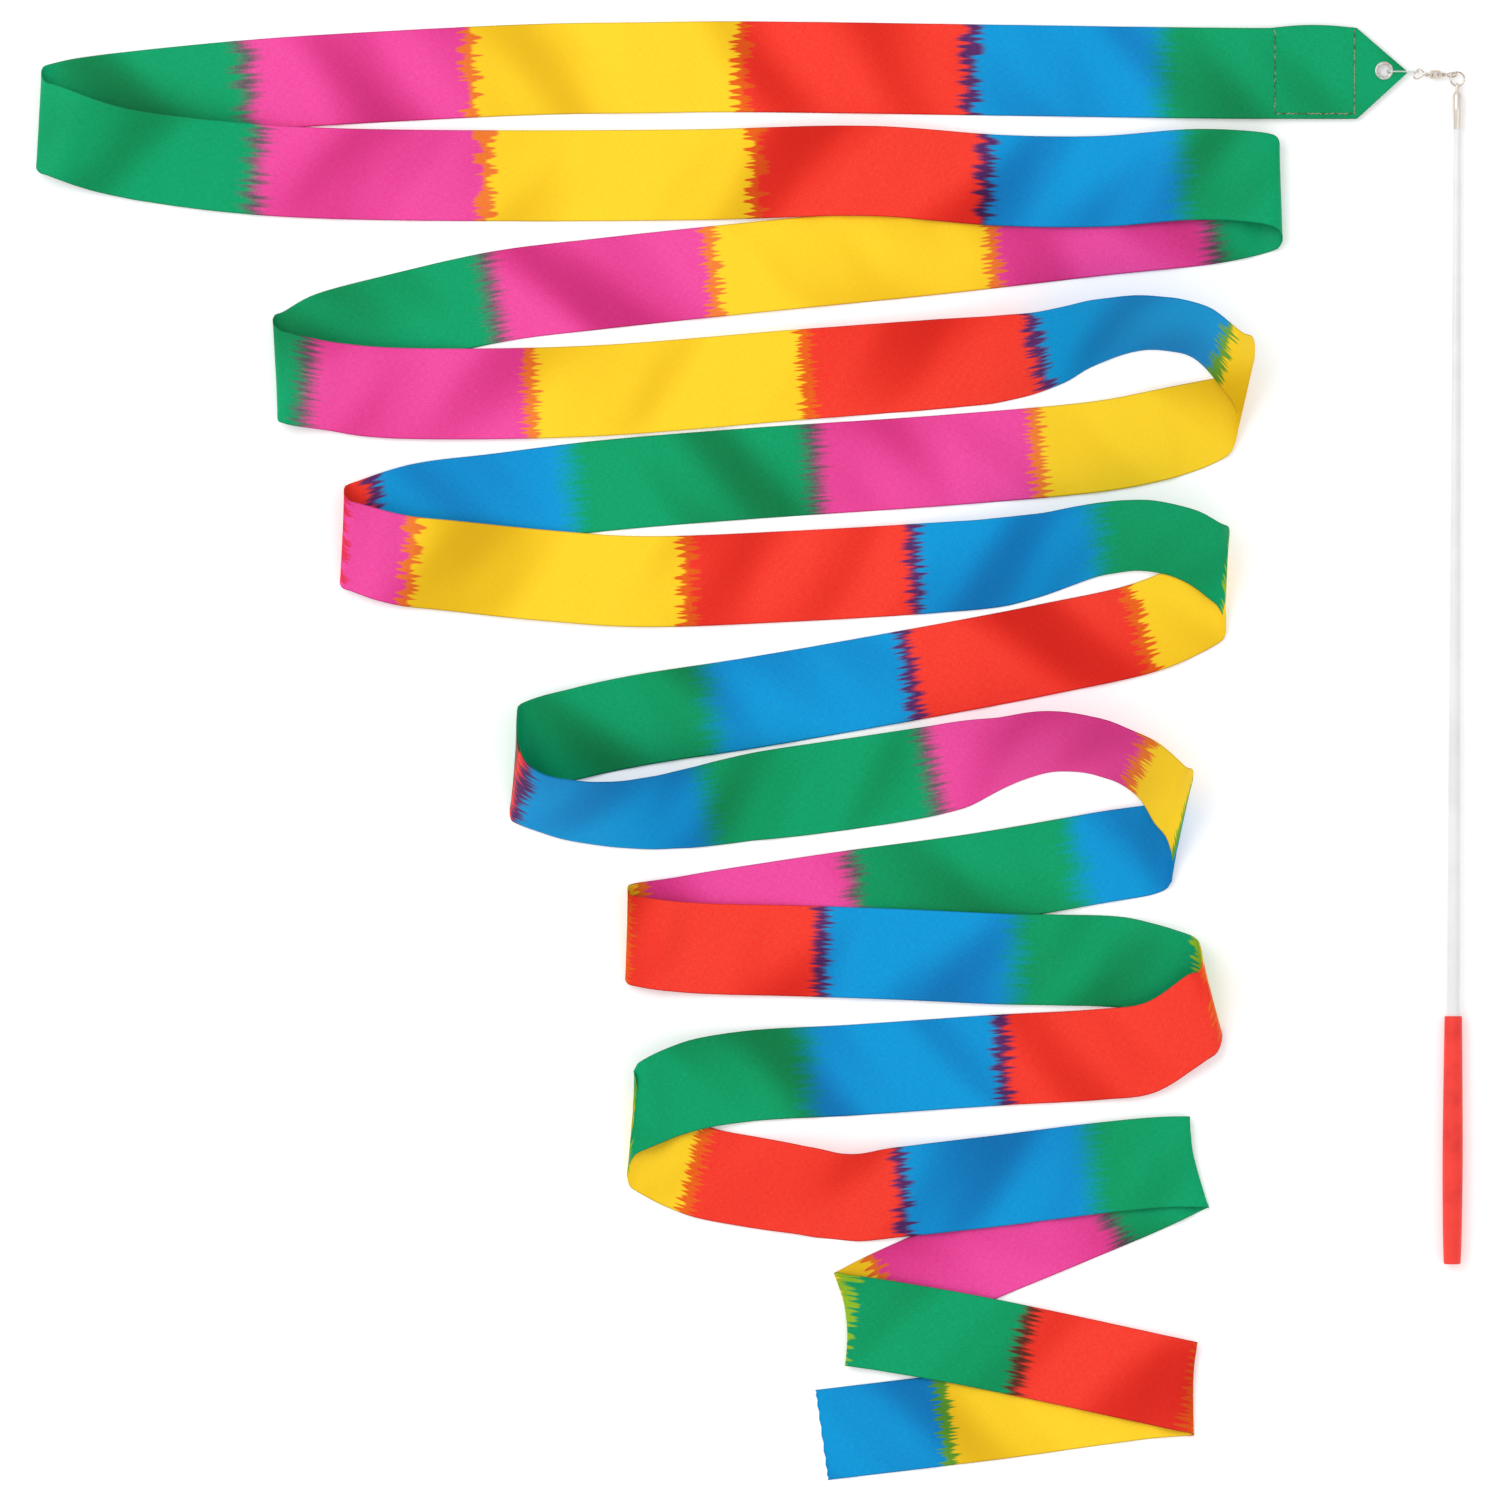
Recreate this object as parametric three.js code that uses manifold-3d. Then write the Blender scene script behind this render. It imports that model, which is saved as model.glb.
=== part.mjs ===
// A rhythmic gymnastics ribbon on its stick, lying on the floor in a loose zigzag.
// Millimetres, +Z up. The origin is on the floor, under the middle of the whole object.
// +Y runs along the stick from its grip to its tip, and the ribbon lies on the -X side of the stick.
import * as THREE from "three";
import { mergeVertices } from "three/addons/utils/BufferGeometryUtils.js";
import Module from "manifold-3d";

const wasm = await Module();
wasm.setup();

// ---- Driving dimensions -------------------------------------------------------------------

const RIBBON_WIDTH = 40;
const RIBBON_THICK = 0.5;
const RIBBON_STEP = 13; // longest stretch of ribbon between two cross-sections
const SPAN_STEPS = 4; // fewest stretches between two places of its route
const TIP_LENGTH = 22; // the pointed end, from its tip to its full width
const TIP_HALF_WIDTH = 0.5;

const LAYER_GAP = 0.3; // between pieces that lie on each other
const FIT_GAP = 0.2; // radial room between a rod and the bore that it is fixed in
const TURN_GAP = 0.12; // radial room between a stem and the bore that it turns in
const FLOOR_GAP = 0.05;

const LINE_RADIUS = 0.35;
const WASHER_THICK = 0.4;
const BACKING_THICK = 0.4;
const BACKING_LENGTH = 60; // the doubled end of the ribbon, from its tip to its first seam
const BACKING_SET_BACK = 1.5; // the lower layer's point ends short of the upper one's
const FLANGE_THICK = 0.4;
const FLANGE_RADIUS = 4;
const EYELET_BORE = 2.7;
const EYELET_WALL = 0.35;
const EYELET_INSET = 10; // from the ribbon's point to the middle of the eyelet
const STITCH_WIDTH = 0.6;
const STITCH_THICK = 0.3;
const SEAM_MARGIN = 2; // between a seam and the ribbon's edge

const TIP_RING_RADIUS = 3.05; // to the middle of the wire
const TIP_RING_WIRE = 0.4;
const TIP_RING_CUT = 0.25; // the split where the ring is bent shut
const LINK_DEG = 141; // where the swivel's eye hangs on the tip ring, from +X
const EYE_RADIUS = 2.05;
const EYE_WIRE = 0.4;
const EYE_TILT_DEG = 66;
const STEM_RADIUS = 0.3;
const WRAP_RADIUS = 0.85;
const WRAP_LENGTH = 1.9;
const HEAD_RADIUS = 0.75;
const HEAD_LENGTH = 0.5;
const BARREL_LENGTH = 4.8;
const BARREL_WIDTH = 3.7;
const BARREL_THICK = 2.2;
const BARREL_CORNER = 0.8;
const WINDOW_LENGTH = 3;
const WINDOW_WIDTH = 2;
const NECK_GAP = 0.3; // between a wrap and the barrel's end

const FERRULE_LENGTH = 19;
const FERRULE_RADII = [2.1, 2, 1.85]; // three steps, from the tip to the shaft
const FERRULE_STEPS = [11.6, 14.9]; // distances of the two steps from the lug's hole
const SHOULDER_START = 1.6;
const SHOULDER_END = 4;
const LUG_THICK = 1.3;
const LUG_HALF_WIDTH = 1.3;
const LUG_HOLE = TIP_RING_WIRE + LAYER_GAP;
const SPIGOT_RADIUS = 1.2;
const SPIGOT_DEPTH = 14;
const SHAFT_TIP_RADIUS = 1.7;
const SHAFT_GRIP_RADIUS = 3.1;
const SHAFT_LENGTH = 390; // the white stretch between the ferrule and the grip
const GRIP_LENGTH = 109;
const GRIP_BUTT = 8; // solid rubber behind the shaft's end
const GRIP_MAX_RADIUS = 4.45;
const GRIP_MOUTH_RADIUS = 3.85;
const GRIP_BUTT_RADIUS = 3.75;
const GRIP_EDGE = 0.8;
const WAND_LEAN_DEG = 0.27; // the stick's turn away from +Y as it lies
const ROUND_SIDES = 24;
const WIRE_SIDES = 8;

// ---- Places that follow from them ---------------------------------------------------------

const LINE_BACK_Z = FLOOR_GAP + LINE_RADIUS;
const WASHER_Z = LINE_BACK_Z + LINE_RADIUS + LAYER_GAP;
const BACKING_Z = WASHER_Z + WASHER_THICK + LAYER_GAP;
const TAB_BOTTOM_Z = BACKING_Z + BACKING_THICK + LAYER_GAP;
const TAB_Z = TAB_BOTTOM_Z + RIBBON_THICK / 2;
const TAB_TOP_Z = TAB_BOTTOM_Z + RIBBON_THICK;
const FLANGE_Z = TAB_TOP_Z + LAYER_GAP;
const LINE_FRONT_Z = FLANGE_Z + FLANGE_THICK + LAYER_GAP + LINE_RADIUS;

const RING_X = 310.8;
const RING_Y = 296;
const LUG_Y = RING_Y - TIP_RING_RADIUS;
const AXIS_Z = FERRULE_RADII[0] + LAYER_GAP; // the line and the eye carry the stick's tip
const LINK = THREE.MathUtils.degToRad(LINK_DEG);
const EYE_X = RING_X + TIP_RING_RADIUS * Math.cos(LINK);
const AXIS_Y = RING_Y + TIP_RING_RADIUS * Math.sin(LINK);
const EYE_WRAP_X = EYE_X - EYE_RADIUS - EYE_WIRE - LAYER_GAP;
const BARREL_X = EYE_WRAP_X - WRAP_LENGTH - NECK_GAP;
const SNAP_WRAP_X = BARREL_X - BARREL_LENGTH - NECK_GAP;
const SNAP_X = SNAP_WRAP_X - WRAP_LENGTH - LAYER_GAP;

const TIP_X = 288.5;
const TAB_Y = 298.5;
const EYELET_X = TIP_X - EYELET_INSET;
const NOTCH_X = SNAP_X - 3.4;
const LINE_Y = AXIS_Y + 1.4;
const EYELET_Y = LINE_Y + 0.4;
const TAB_LEFT_X = TIP_X - BACKING_LENGTH;
const TAB_RIGHT_X = TIP_X - TIP_LENGTH;

// ---- The ribbon's route -------------------------------------------------------------------

// One place on the ribbon's centre line: x and y, the height of its lower edge above the floor, the
// tilt of its width out of the floor (upper edge raised), and the lean of its width, whose lower
// end moves towards +X. With no lean given, the width lies square to the route.
function at(x, y, base, tilt = 0, lean = null) {
  return { x, y, base, tilt, lean };
}

// A half turn at the right (side 1) or left (side -1) end of a run. x and y are its outermost
// place, depth how far in it starts, travel how far it moves towards -Y, and the leans and tilts
// are those at its start, its middle and its end.
function turn(side, x, y, depth, travel, from, to, leans, tilts = [0, 0, 0]) {
  const between = (three, half) =>
    half <= 1
      ? three[0] + (three[1] - three[0]) * half
      : three[1] + (three[2] - three[1]) * (half - 1);
  return [0, 45, 90, 135, 180].map((degrees) => {
    const angle = THREE.MathUtils.degToRad(degrees);
    return at(
      x - side * depth * (1 - Math.sin(angle)),
      y + (travel / 2) * Math.cos(angle),
      (from + to) / 2 - ((to - from) / 2) * Math.cos(angle),
      between(tilts, degrees / 90),
      between(leans, degrees / 90),
    );
  });
}

const RAISED = TAB_Z; // the end that the eyelet and the line hold off the floor
const ROUTE = [
  at(TIP_X, 299, RAISED, 0, 0),
  at(TAB_RIGHT_X, TAB_Y, RAISED, 0, 0),
  at(TAB_LEFT_X, TAB_Y, RAISED, 0, 0),
  at(219, TAB_Y, RAISED, 0, 0),
  at(175.5, 299, 1.2),
  at(109.5, 300, 0.5),
  at(-9, 301.5, 0.5),
  at(-49, 301, 1.4),
  at(-88.5, 300.5, 0.5),
  at(-154.5, 297.5, 0.5),
  at(-218, 293.5, 0.6),
  at(-274, 288, 0.8),
  at(-293, 285.5, 1),
  ...turn(-1, -313, 278, 6, 9.5, 1.2, 9, [3, -3.2, -6]),
  at(-286.5, 266, 3.5, 14, -8),
  at(-264.5, 261.5, 1.7, 14),
  at(-220.5, 256.5, 1.5, 6),
  at(-185, 254.5, 1.4, 4),
  at(-110.5, 253.5, 0.6, 4),
  at(-22.5, 254, 1.5, 0),
  at(52.5, 255.5, 2.6, 10),
  at(109.5, 251.5, 1.8),
  at(153.5, 251, 2.4),
  at(197.5, 254, 4.5, 4, 0),
  ...turn(1, 233, 246, 5.5, 11.5, 8.5, 1.2, [-3, 2, 4]),
  at(204, 235, 0.8),
  at(153.5, 229.5, 0.5),
  at(79, 221, 0.5),
  at(-0.5, 213, 1.2),
  at(-66.5, 206, 0.5),
  at(-110.5, 200.5, 0.5),
  at(-159, 189.5, 0.6),
  at(-185, 182.5, 0.8),
  ...turn(-1, -209, 169, 5.5, 9.5, 1.2, 9, [7, 3.2, -4]),
  at(-189.5, 161.5, 3.5, 14, -4),
  at(-167.5, 158.5, 1.8, 8),
  at(-132.5, 157.5, 2.2),
  at(-66.5, 159, 1.6),
  at(21.5, 166, 1, 6),
  at(87.5, 171, 0.5, 12),
  at(109.5, 173, 0.5, 20),
  at(131.5, 177.5, 0.5, 35),
  at(153.5, 185, 0.8, 48, 6),
  at(175.5, 188.5, 1.2, 55, -4),
  at(197.5, 184, 4.5, 56, -14),
  ...turn(1, 217.5, 159.5, 5.5, 23, 7.5, 0.6, [-18, -12, -14], [50, 33, 8]),
  at(175.5, 138.5, 0.8, 3, 8),
  at(153.5, 134.5, 0.9, 0.5),
  at(87.5, 128.5, 0.5),
  at(-0.5, 122.5, 0.5),
  at(-66.5, 117, 0.5),
  at(-110.5, 111.5, 0.5),
  at(-145.5, 107, 0.9, 1),
  ...turn(-1, -179.5, 94, 5, 8, 0.6, 6, [6, -3.4, -6], [4, 18, 14]),
  at(-154.5, 84.5, 3, 8, -6),
  at(-132.5, 82, 1.7, 6),
  at(-88.5, 77.5, 1.9),
  at(-49, 75, 1.3),
  at(21.5, 77.5, 0.8),
  at(87.5, 81.5, 0.6, 8),
  at(109.5, 83.5, 0.6, 14),
  at(131.5, 88, 0.6, 30),
  at(153.5, 93.5, 1.5, 38, 6),
  at(175.5, 95, 2.5, 40, -4),
  at(193, 90.5, 3.5, 40, -12),
  ...turn(1, 209, 76, 5.5, 16, 5, 0.6, [-12, -2, 8], [36, 24, 6]),
  at(175.5, 55.5, 1.2, 0),
  at(131.5, 45.5, 0.5),
  at(65.5, 33, 0.6),
  at(-0.5, 21.5, 0.5),
  at(-49, 14, 0.7, 1.5),
  at(-75, 8.5, 0.8, 6, 8),
  ...turn(-1, -104, -9, 5.5, 22, 0.6, 1.5, [8, -6.5, -20], [14, 44, 52]),
  at(-84, -24.5, 1.2, 50, -12),
  at(-66.5, -27, 1.2, 46, -4),
  at(-44.5, -27, 1, 38),
  at(-22.5, -24, 0.8, 28),
  at(-0.5, -20, 0.8, 18),
  at(21.5, -17, 0.6, 8),
  at(57, -12, 0.5, 4),
  at(87.5, -6.5, 0.5, 16),
  at(109.5, 0, 0.5, 40),
  at(131.5, 4.5, 0.5, 48, 4),
  at(153.5, 2, 0.8, 53, -10),
  at(173.5, -7, 4.5, 53, -24),
  ...turn(1, 189.5, -30, 5.5, 22, 8, 0.6, [-28, -13.5, -6], [46, 30, 7]),
  at(153.5, -46.5, 1, 1),
  at(101, -55.5, 0.5),
  at(39, -64, 0.5),
  at(-13.5, -72, 0.6),
  at(-31, -75, 0.9, 1),
  ...turn(-1, -54.5, -80.5, 4.5, 5.5, 0.8, 5, [6, -2, -3], [4, 16, 8]),
  at(-27, -86, 2.8, 4, -2),
  at(21.5, -87.5, 1.7),
  at(65.5, -89, 1.7),
  at(109.5, -91, 1.8),
  at(136, -91.5, 1.8),
  at(162.5, -92.5, 0.6, 0, -2),
  at(180, -96, 0.6, 6, 2),
  ...turn(1, 202.5, -108.5, 6, 16, 0.6, 6, [6, 16.5, 12], [14, 34, 14]),
  at(175.5, -130, 3, 6, 6),
  at(153.5, -133, 1.8),
  at(109.5, -135.5, 0.9),
  at(43.5, -140, 0.6),
  at(-0.5, -142.5, 1.2, 4),
  at(-27, -147, 4, 8, 6),
  ...turn(-1, -52.5, -164.5, 5.5, 18.5, 6, 0.6, [4, -5, -10], [14, 14, 6]),
  at(-22.5, -184.5, 0.8, 1, -14),
  at(-0.5, -189, 0.7, 2),
  at(21.5, -192.5, 0.8, 12),
  at(43.5, -196, 0.8, 16),
  at(65.5, -193.5, 1.8, 8),
  at(109.5, -188.5, 1.8),
  at(153.5, -183, 2.2),
  at(180, -180.5, 2.8),
  ...turn(1, 195.5, -181, 1.5, 1.5, 3.6, 1, [3, 15.4, 21]),
  at(175.5, -190.5, 0.6, 0, 23),
  at(145, -203.5, 0.5, 0, 23),
  at(92, -225.5, 0.5, 0, 22),
  at(57, -241, 0.6, 0, 21),
  ...turn(-1, 42, -249, 1.5, 2, 1, 3.6, [20, 6.6, -6]),
  at(57, -252, 3, 0, -8),
  at(92, -258, 2.2, 0),
  at(131.5, -266, 1.8),
  at(175.5, -275.5, 2.4, 0, -11),
  ...turn(1, 194.5, -280, 1.5, 1.5, 3.2, 1, [-10, -0.6, 5]),
  at(175.5, -282, 0.6, 0, 7),
  at(109.5, -291, 0.5, 0, 7),
  at(31, -300.5, 0.5, 0, 8),
];

// ---- Helpers ------------------------------------------------------------------------------

// A closed mesh from a row of rings with the same number of points each. A row that isn't a loop
// gets an end face at both ends. Quads on facing sides are split along matching diagonals, so that
// the two faces of a thin twisted strip keep their distance.
function skin(rings, loop = false) {
  const sides = rings[0].length;
  const positions = rings.flat().flatMap((p) => [p.x, p.y, p.z]);
  const faces = [];
  const last = loop ? rings.length : rings.length - 1;
  for (let i = 0; i < last; i++) {
    const a = i * sides;
    const b = ((i + 1) % rings.length) * sides;
    for (let k = 0; k < sides; k++) {
      const next = (k + 1) % sides;
      if (k < sides / 2) {
        faces.push(a + k, b + k, b + next, a + k, b + next, a + next);
      } else {
        faces.push(a + k, b + k, a + next, b + k, b + next, a + next);
      }
    }
  }
  if (!loop) {
    const end = (rings.length - 1) * sides;
    for (let k = 1; k < sides - 1; k++) {
      faces.push(0, k, k + 1, end, end + k + 1, end + k);
    }
  }
  const geometry = new THREE.BufferGeometry();
  geometry.setAttribute("position", new THREE.Float32BufferAttribute(positions, 3));
  geometry.setIndex(faces);
  return geometry;
}

// A round wire along a curve that lies in a plane with this normal.
function wire(points, normal, radius, steps, loop = false) {
  const curve = new THREE.CatmullRomCurve3(points, loop, "centripetal");
  const rings = [];
  const count = loop ? steps : steps + 1;
  for (let i = 0; i < count; i++) {
    const centre = curve.getPoint(i / steps);
    const side = new THREE.Vector3().crossVectors(curve.getTangent(i / steps), normal).normalize();
    rings.push(
      Array.from({ length: WIRE_SIDES }, (_, k) => {
        const angle = (2 * Math.PI * k) / WIRE_SIDES;
        return centre
          .clone()
          .addScaledVector(side, radius * Math.cos(angle))
          .addScaledVector(normal, radius * Math.sin(angle));
      }),
    );
  }
  return skin(rings, loop);
}

function solid(geometry) {
  const bare = geometry.clone();
  bare.deleteAttribute("normal");
  bare.deleteAttribute("uv");
  const merged = mergeVertices(bare, 1e-4);
  return new wasm.Manifold(
    new wasm.Mesh({
      numProp: 3,
      vertProperties: merged.attributes.position.array,
      triVerts: new Uint32Array(merged.index.array),
    }),
  );
}

function geometryOf(manifold) {
  const mesh = manifold.getMesh();
  const geometry = new THREE.BufferGeometry();
  geometry.setAttribute("position", new THREE.BufferAttribute(mesh.vertProperties, 3));
  geometry.setIndex(new THREE.BufferAttribute(mesh.triVerts, 1));
  return geometry;
}

function cut(geometry, ...tools) {
  return geometryOf(tools.reduce((left, tool) => left.subtract(solid(tool)), solid(geometry)));
}

function join(geometry, ...others) {
  return geometryOf(others.reduce((sum, other) => sum.add(solid(other)), solid(geometry)));
}

// A round solid or sleeve about Y, from a closed profile of [radius, y] points. A flat side of it
// faces the floor.
function turned(profile) {
  const points = [...profile, profile[0]].map(([radius, y]) => new THREE.Vector2(radius, y));
  const half = Math.PI / ROUND_SIDES;
  return new THREE.LatheGeometry(points, ROUND_SIDES, half);
}

function cylinder(radius, length) {
  return new THREE.CylinderGeometry(radius, radius, length, ROUND_SIDES);
}

function cylinderAlongX(radius, from, to) {
  return cylinder(radius, to - from)
    .rotateZ(-Math.PI / 2)
    .translate((from + to) / 2, AXIS_Y, AXIS_Z);
}

function sleeveAlongX(inner, outer, from, to) {
  const profile = [
    [inner, from],
    [outer, from],
    [outer, to],
    [inner, to],
  ];
  return turned(profile).rotateZ(-Math.PI / 2).translate(0, AXIS_Y, AXIS_Z);
}

function plate(shape, thick, z) {
  const options = { depth: thick, bevelEnabled: false, curveSegments: ROUND_SIDES / 2 };
  return new THREE.ExtrudeGeometry(shape, options).translate(0, 0, z);
}

function roundHole(x, y, radius) {
  return new THREE.Path().absarc(x, y, radius, 0, 2 * Math.PI, true);
}

// ---- Ribbon -------------------------------------------------------------------------------

// The route with every lean worked out and each centre lifted by its tilt.
function stations() {
  return ROUTE.map((place, i) => {
    let lean = place.lean;
    if (lean === null) {
      const dx = ROUTE[i + 1].x - ROUTE[i - 1].x;
      const dy = ROUTE[i + 1].y - ROUTE[i - 1].y;
      lean = THREE.MathUtils.radToDeg(Math.atan(dy / dx));
    }
    const lift = (RIBBON_WIDTH / 2) * Math.abs(Math.sin(THREE.MathUtils.degToRad(place.tilt)));
    return [place.x, place.y, place.base + lift, place.tilt, lean];
  });
}

// A smooth curve through all the stations, as rows of [x, y, z, tilt, lean].
function smoothRoute() {
  const keys = stations();
  const distance = (a, b) => Math.hypot(a[0] - b[0], a[1] - b[1], a[2] - b[2]);
  const knots = [0];
  for (let i = 1; i < keys.length; i++) {
    knots.push(knots[i - 1] + Math.sqrt(distance(keys[i], keys[i - 1])));
  }
  const slope = (i, j, k) => (keys[j][k] - keys[i][k]) / (knots[j] - knots[i]);
  const tangents = keys.map((key, i) =>
    key.map((_, k) => {
      if (i === 0) return slope(0, 1, k);
      if (i === keys.length - 1) return slope(i - 1, i, k);
      const before = knots[i] - knots[i - 1];
      const after = knots[i + 1] - knots[i];
      return (slope(i, i + 1, k) * before + slope(i - 1, i, k) * after) / (before + after);
    }),
  );
  const rows = [];
  for (let i = 0; i < keys.length - 1; i++) {
    const span = knots[i + 1] - knots[i];
    const steps = Math.max(SPAN_STEPS, Math.ceil(distance(keys[i], keys[i + 1]) / RIBBON_STEP));
    for (let step = 0; step < steps; step++) {
      const u = step / steps;
      const weights = [
        2 * u ** 3 - 3 * u ** 2 + 1,
        span * (u ** 3 - 2 * u ** 2 + u),
        3 * u ** 2 - 2 * u ** 3,
        span * (u ** 3 - u ** 2),
      ];
      rows.push(
        keys[i].map(
          (value, k) =>
            weights[0] * value +
            weights[1] * tangents[i][k] +
            weights[2] * keys[i + 1][k] +
            weights[3] * tangents[i + 1][k],
        ),
      );
    }
  }
  rows.push(keys.at(-1));
  return rows;
}

function ribbonStrip() {
  const rows = smoothRoute();
  const centres = rows.map(([x, y, z]) => new THREE.Vector3(x, y, z));
  let travelled = 0;
  const rings = rows.map(([, , , tiltDeg, leanDeg], i) => {
    if (i > 0) travelled += centres[i].distanceTo(centres[i - 1]);
    const tilt = THREE.MathUtils.degToRad(tiltDeg);
    const lean = THREE.MathUtils.degToRad(leanDeg);
    const across = new THREE.Vector3(
      Math.sin(lean) * Math.cos(tilt),
      -Math.cos(lean) * Math.cos(tilt),
      -Math.sin(tilt),
    );
    const next = centres[Math.min(i + 1, centres.length - 1)];
    const along = next.clone().sub(centres[Math.max(i - 1, 0)]);
    const out = new THREE.Vector3().crossVectors(along, across).normalize();
    const share = Math.min(1, travelled / TIP_LENGTH);
    const half = TIP_HALF_WIDTH + (RIBBON_WIDTH / 2 - TIP_HALF_WIDTH) * share;
    return [
      [-half, 1],
      [half, 1],
      [half, -1],
      [-half, -1],
    ].map(([width, face]) =>
      centres[i]
        .clone()
        .addScaledVector(across, width)
        .addScaledVector(out, (face * RIBBON_THICK) / 2),
    );
  });
  const hole = cylinder(EYELET_BORE + EYELET_WALL + LAYER_GAP, 4 * TAB_Z)
    .rotateX(Math.PI / 2)
    .translate(EYELET_X, EYELET_Y, TAB_Z);
  return cut(skin(rings), hole);
}

function tabBacking() {
  const half = RIBBON_WIDTH / 2 - LAYER_GAP;
  const tip = TIP_X - BACKING_SET_BACK;
  const shape = new THREE.Shape();
  shape.moveTo(TAB_LEFT_X, TAB_Y - half);
  shape.lineTo(TAB_RIGHT_X - BACKING_SET_BACK, TAB_Y - half);
  shape.lineTo(tip, TAB_Y);
  shape.lineTo(TAB_RIGHT_X - BACKING_SET_BACK, TAB_Y + half);
  shape.lineTo(TAB_LEFT_X, TAB_Y + half);
  shape.closePath();
  shape.holes.push(roundHole(EYELET_X, EYELET_Y, EYELET_BORE + EYELET_WALL + LAYER_GAP));
  return plate(shape, BACKING_THICK, BACKING_Z);
}

function seam(fromX, fromY, toX, toY) {
  const z = TAB_TOP_Z + LAYER_GAP + STITCH_THICK / 2;
  const box = new THREE.BoxGeometry(toX - fromX, toY - fromY, STITCH_THICK);
  return box.translate((fromX + toX) / 2, (fromY + toY) / 2, z);
}

const SEAM_TOP_Y = TAB_Y + RIBBON_WIDTH / 2 - SEAM_MARGIN;
const SEAM_BOTTOM_Y = TAB_Y - RIBBON_WIDTH / 2 + SEAM_MARGIN;

function seamAcross(x) {
  return seam(x - STITCH_WIDTH / 2, SEAM_BOTTOM_Y, x + STITCH_WIDTH / 2, SEAM_TOP_Y);
}

function seamAlong() {
  const inset = STITCH_WIDTH + LAYER_GAP + SEAM_MARGIN;
  return seam(
    TAB_LEFT_X + inset,
    SEAM_BOTTOM_Y,
    TAB_RIGHT_X - inset,
    SEAM_BOTTOM_Y + STITCH_WIDTH,
  );
}

// ---- Eyelet and line ----------------------------------------------------------------------

function eyelet() {
  const barrel = EYELET_BORE + EYELET_WALL;
  const profile = [
    [EYELET_BORE, WASHER_Z],
    [barrel, WASHER_Z],
    [barrel, FLANGE_Z],
    [FLANGE_RADIUS, FLANGE_Z],
    [FLANGE_RADIUS - FLANGE_THICK / 2, FLANGE_Z + FLANGE_THICK],
    [EYELET_BORE, FLANGE_Z + FLANGE_THICK],
  ];
  return turned(profile).rotateX(Math.PI / 2).translate(EYELET_X, EYELET_Y, 0);
}

function eyeletWasher() {
  const bore = EYELET_BORE + EYELET_WALL + TURN_GAP;
  const profile = [
    [bore, WASHER_Z],
    [FLANGE_RADIUS, WASHER_Z],
    [FLANGE_RADIUS, WASHER_Z + WASHER_THICK],
    [bore, WASHER_Z + WASHER_THICK],
  ];
  return turned(profile).rotateX(Math.PI / 2).translate(EYELET_X, EYELET_Y, 0);
}

const LINE_X = EYELET_X + EYELET_BORE - 1;
const LOOP_RADIUS = STEM_RADIUS + LAYER_GAP + LINE_RADIUS + 0.1; // round the snap's wire

function nylonLoop() {
  const rimX = EYELET_X + EYELET_BORE;
  const points = [
    [LINE_X, WASHER_Z + 0.3],
    [LINE_X, TAB_TOP_Z],
    [LINE_X + 0.3, LINE_FRONT_Z - 0.5],
    [rimX + 0.2, LINE_FRONT_Z + 0.05],
    [EYELET_X + FLANGE_RADIUS + 0.3, LINE_FRONT_Z + 0.05],
    [TIP_X, (LINE_FRONT_Z + AXIS_Z + LOOP_RADIUS) / 2 + 0.1],
    [NOTCH_X, AXIS_Z + LOOP_RADIUS],
    [NOTCH_X + LOOP_RADIUS, AXIS_Z],
    [NOTCH_X, AXIS_Z - LOOP_RADIUS],
    [TIP_X, LINE_BACK_Z + 0.3],
    [EYELET_X + FLANGE_RADIUS + 0.3, LINE_BACK_Z],
    [rimX, LINE_BACK_Z],
    [LINE_X + 0.3, LINE_BACK_Z + 0.3],
  ].map(([x, z]) => new THREE.Vector3(x, LINE_Y, z));
  return wire(points, new THREE.Vector3(0, 1, 0), LINE_RADIUS, 64, true);
}

function lineKnot() {
  const inner = LINE_RADIUS + 0.15;
  const low = BACKING_Z;
  const high = TAB_BOTTOM_Z + 0.3;
  const profile = [
    [inner, low],
    [inner + 0.15, low],
    [inner + 0.25, (low + high) / 2],
    [inner + 0.15, high],
    [inner, high],
  ];
  return turned(profile).rotateX(Math.PI / 2).translate(LINE_X, LINE_Y, 0);
}

// ---- Snap, swivel and tip ring ------------------------------------------------------------

// The snap is one wire: a stem with a head that turns in the barrel, and a heart-shaped hook whose
// notch holds the line.
function snapHook() {
  const points = [
    [SNAP_WRAP_X - WRAP_LENGTH - 0.1, 0],
    [SNAP_X - 0.4, -0.25],
    [SNAP_X - 1.9, -1.35],
    [SNAP_X - 3.4, -1.85],
    [SNAP_X - 4.5, -1.1],
    [SNAP_X - 4.4, 0.3],
    [NOTCH_X, LINE_Y - AXIS_Y],
    [NOTCH_X + 0.4, 2.1],
    [NOTCH_X + 1.6, 2.45],
    [SNAP_X - 0.7, 1.6],
    [SNAP_X - 0.15, 0.95],
  ].map(([x, y]) => new THREE.Vector3(x, AXIS_Y + y, AXIS_Z));
  const hook = wire(points, new THREE.Vector3(0, 0, 1), STEM_RADIUS, 44);
  const windowLeft = BARREL_X - BARREL_LENGTH / 2 - WINDOW_LENGTH / 2;
  const head = windowLeft + TURN_GAP;
  const stem = cylinderAlongX(STEM_RADIUS, SNAP_WRAP_X - WRAP_LENGTH - 0.2, head + HEAD_LENGTH / 2);
  return join(hook, stem, cylinderAlongX(HEAD_RADIUS, head, head + HEAD_LENGTH));
}

function wrap(rightX) {
  return sleeveAlongX(STEM_RADIUS + TURN_GAP, WRAP_RADIUS, rightX - WRAP_LENGTH, rightX);
}

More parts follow.
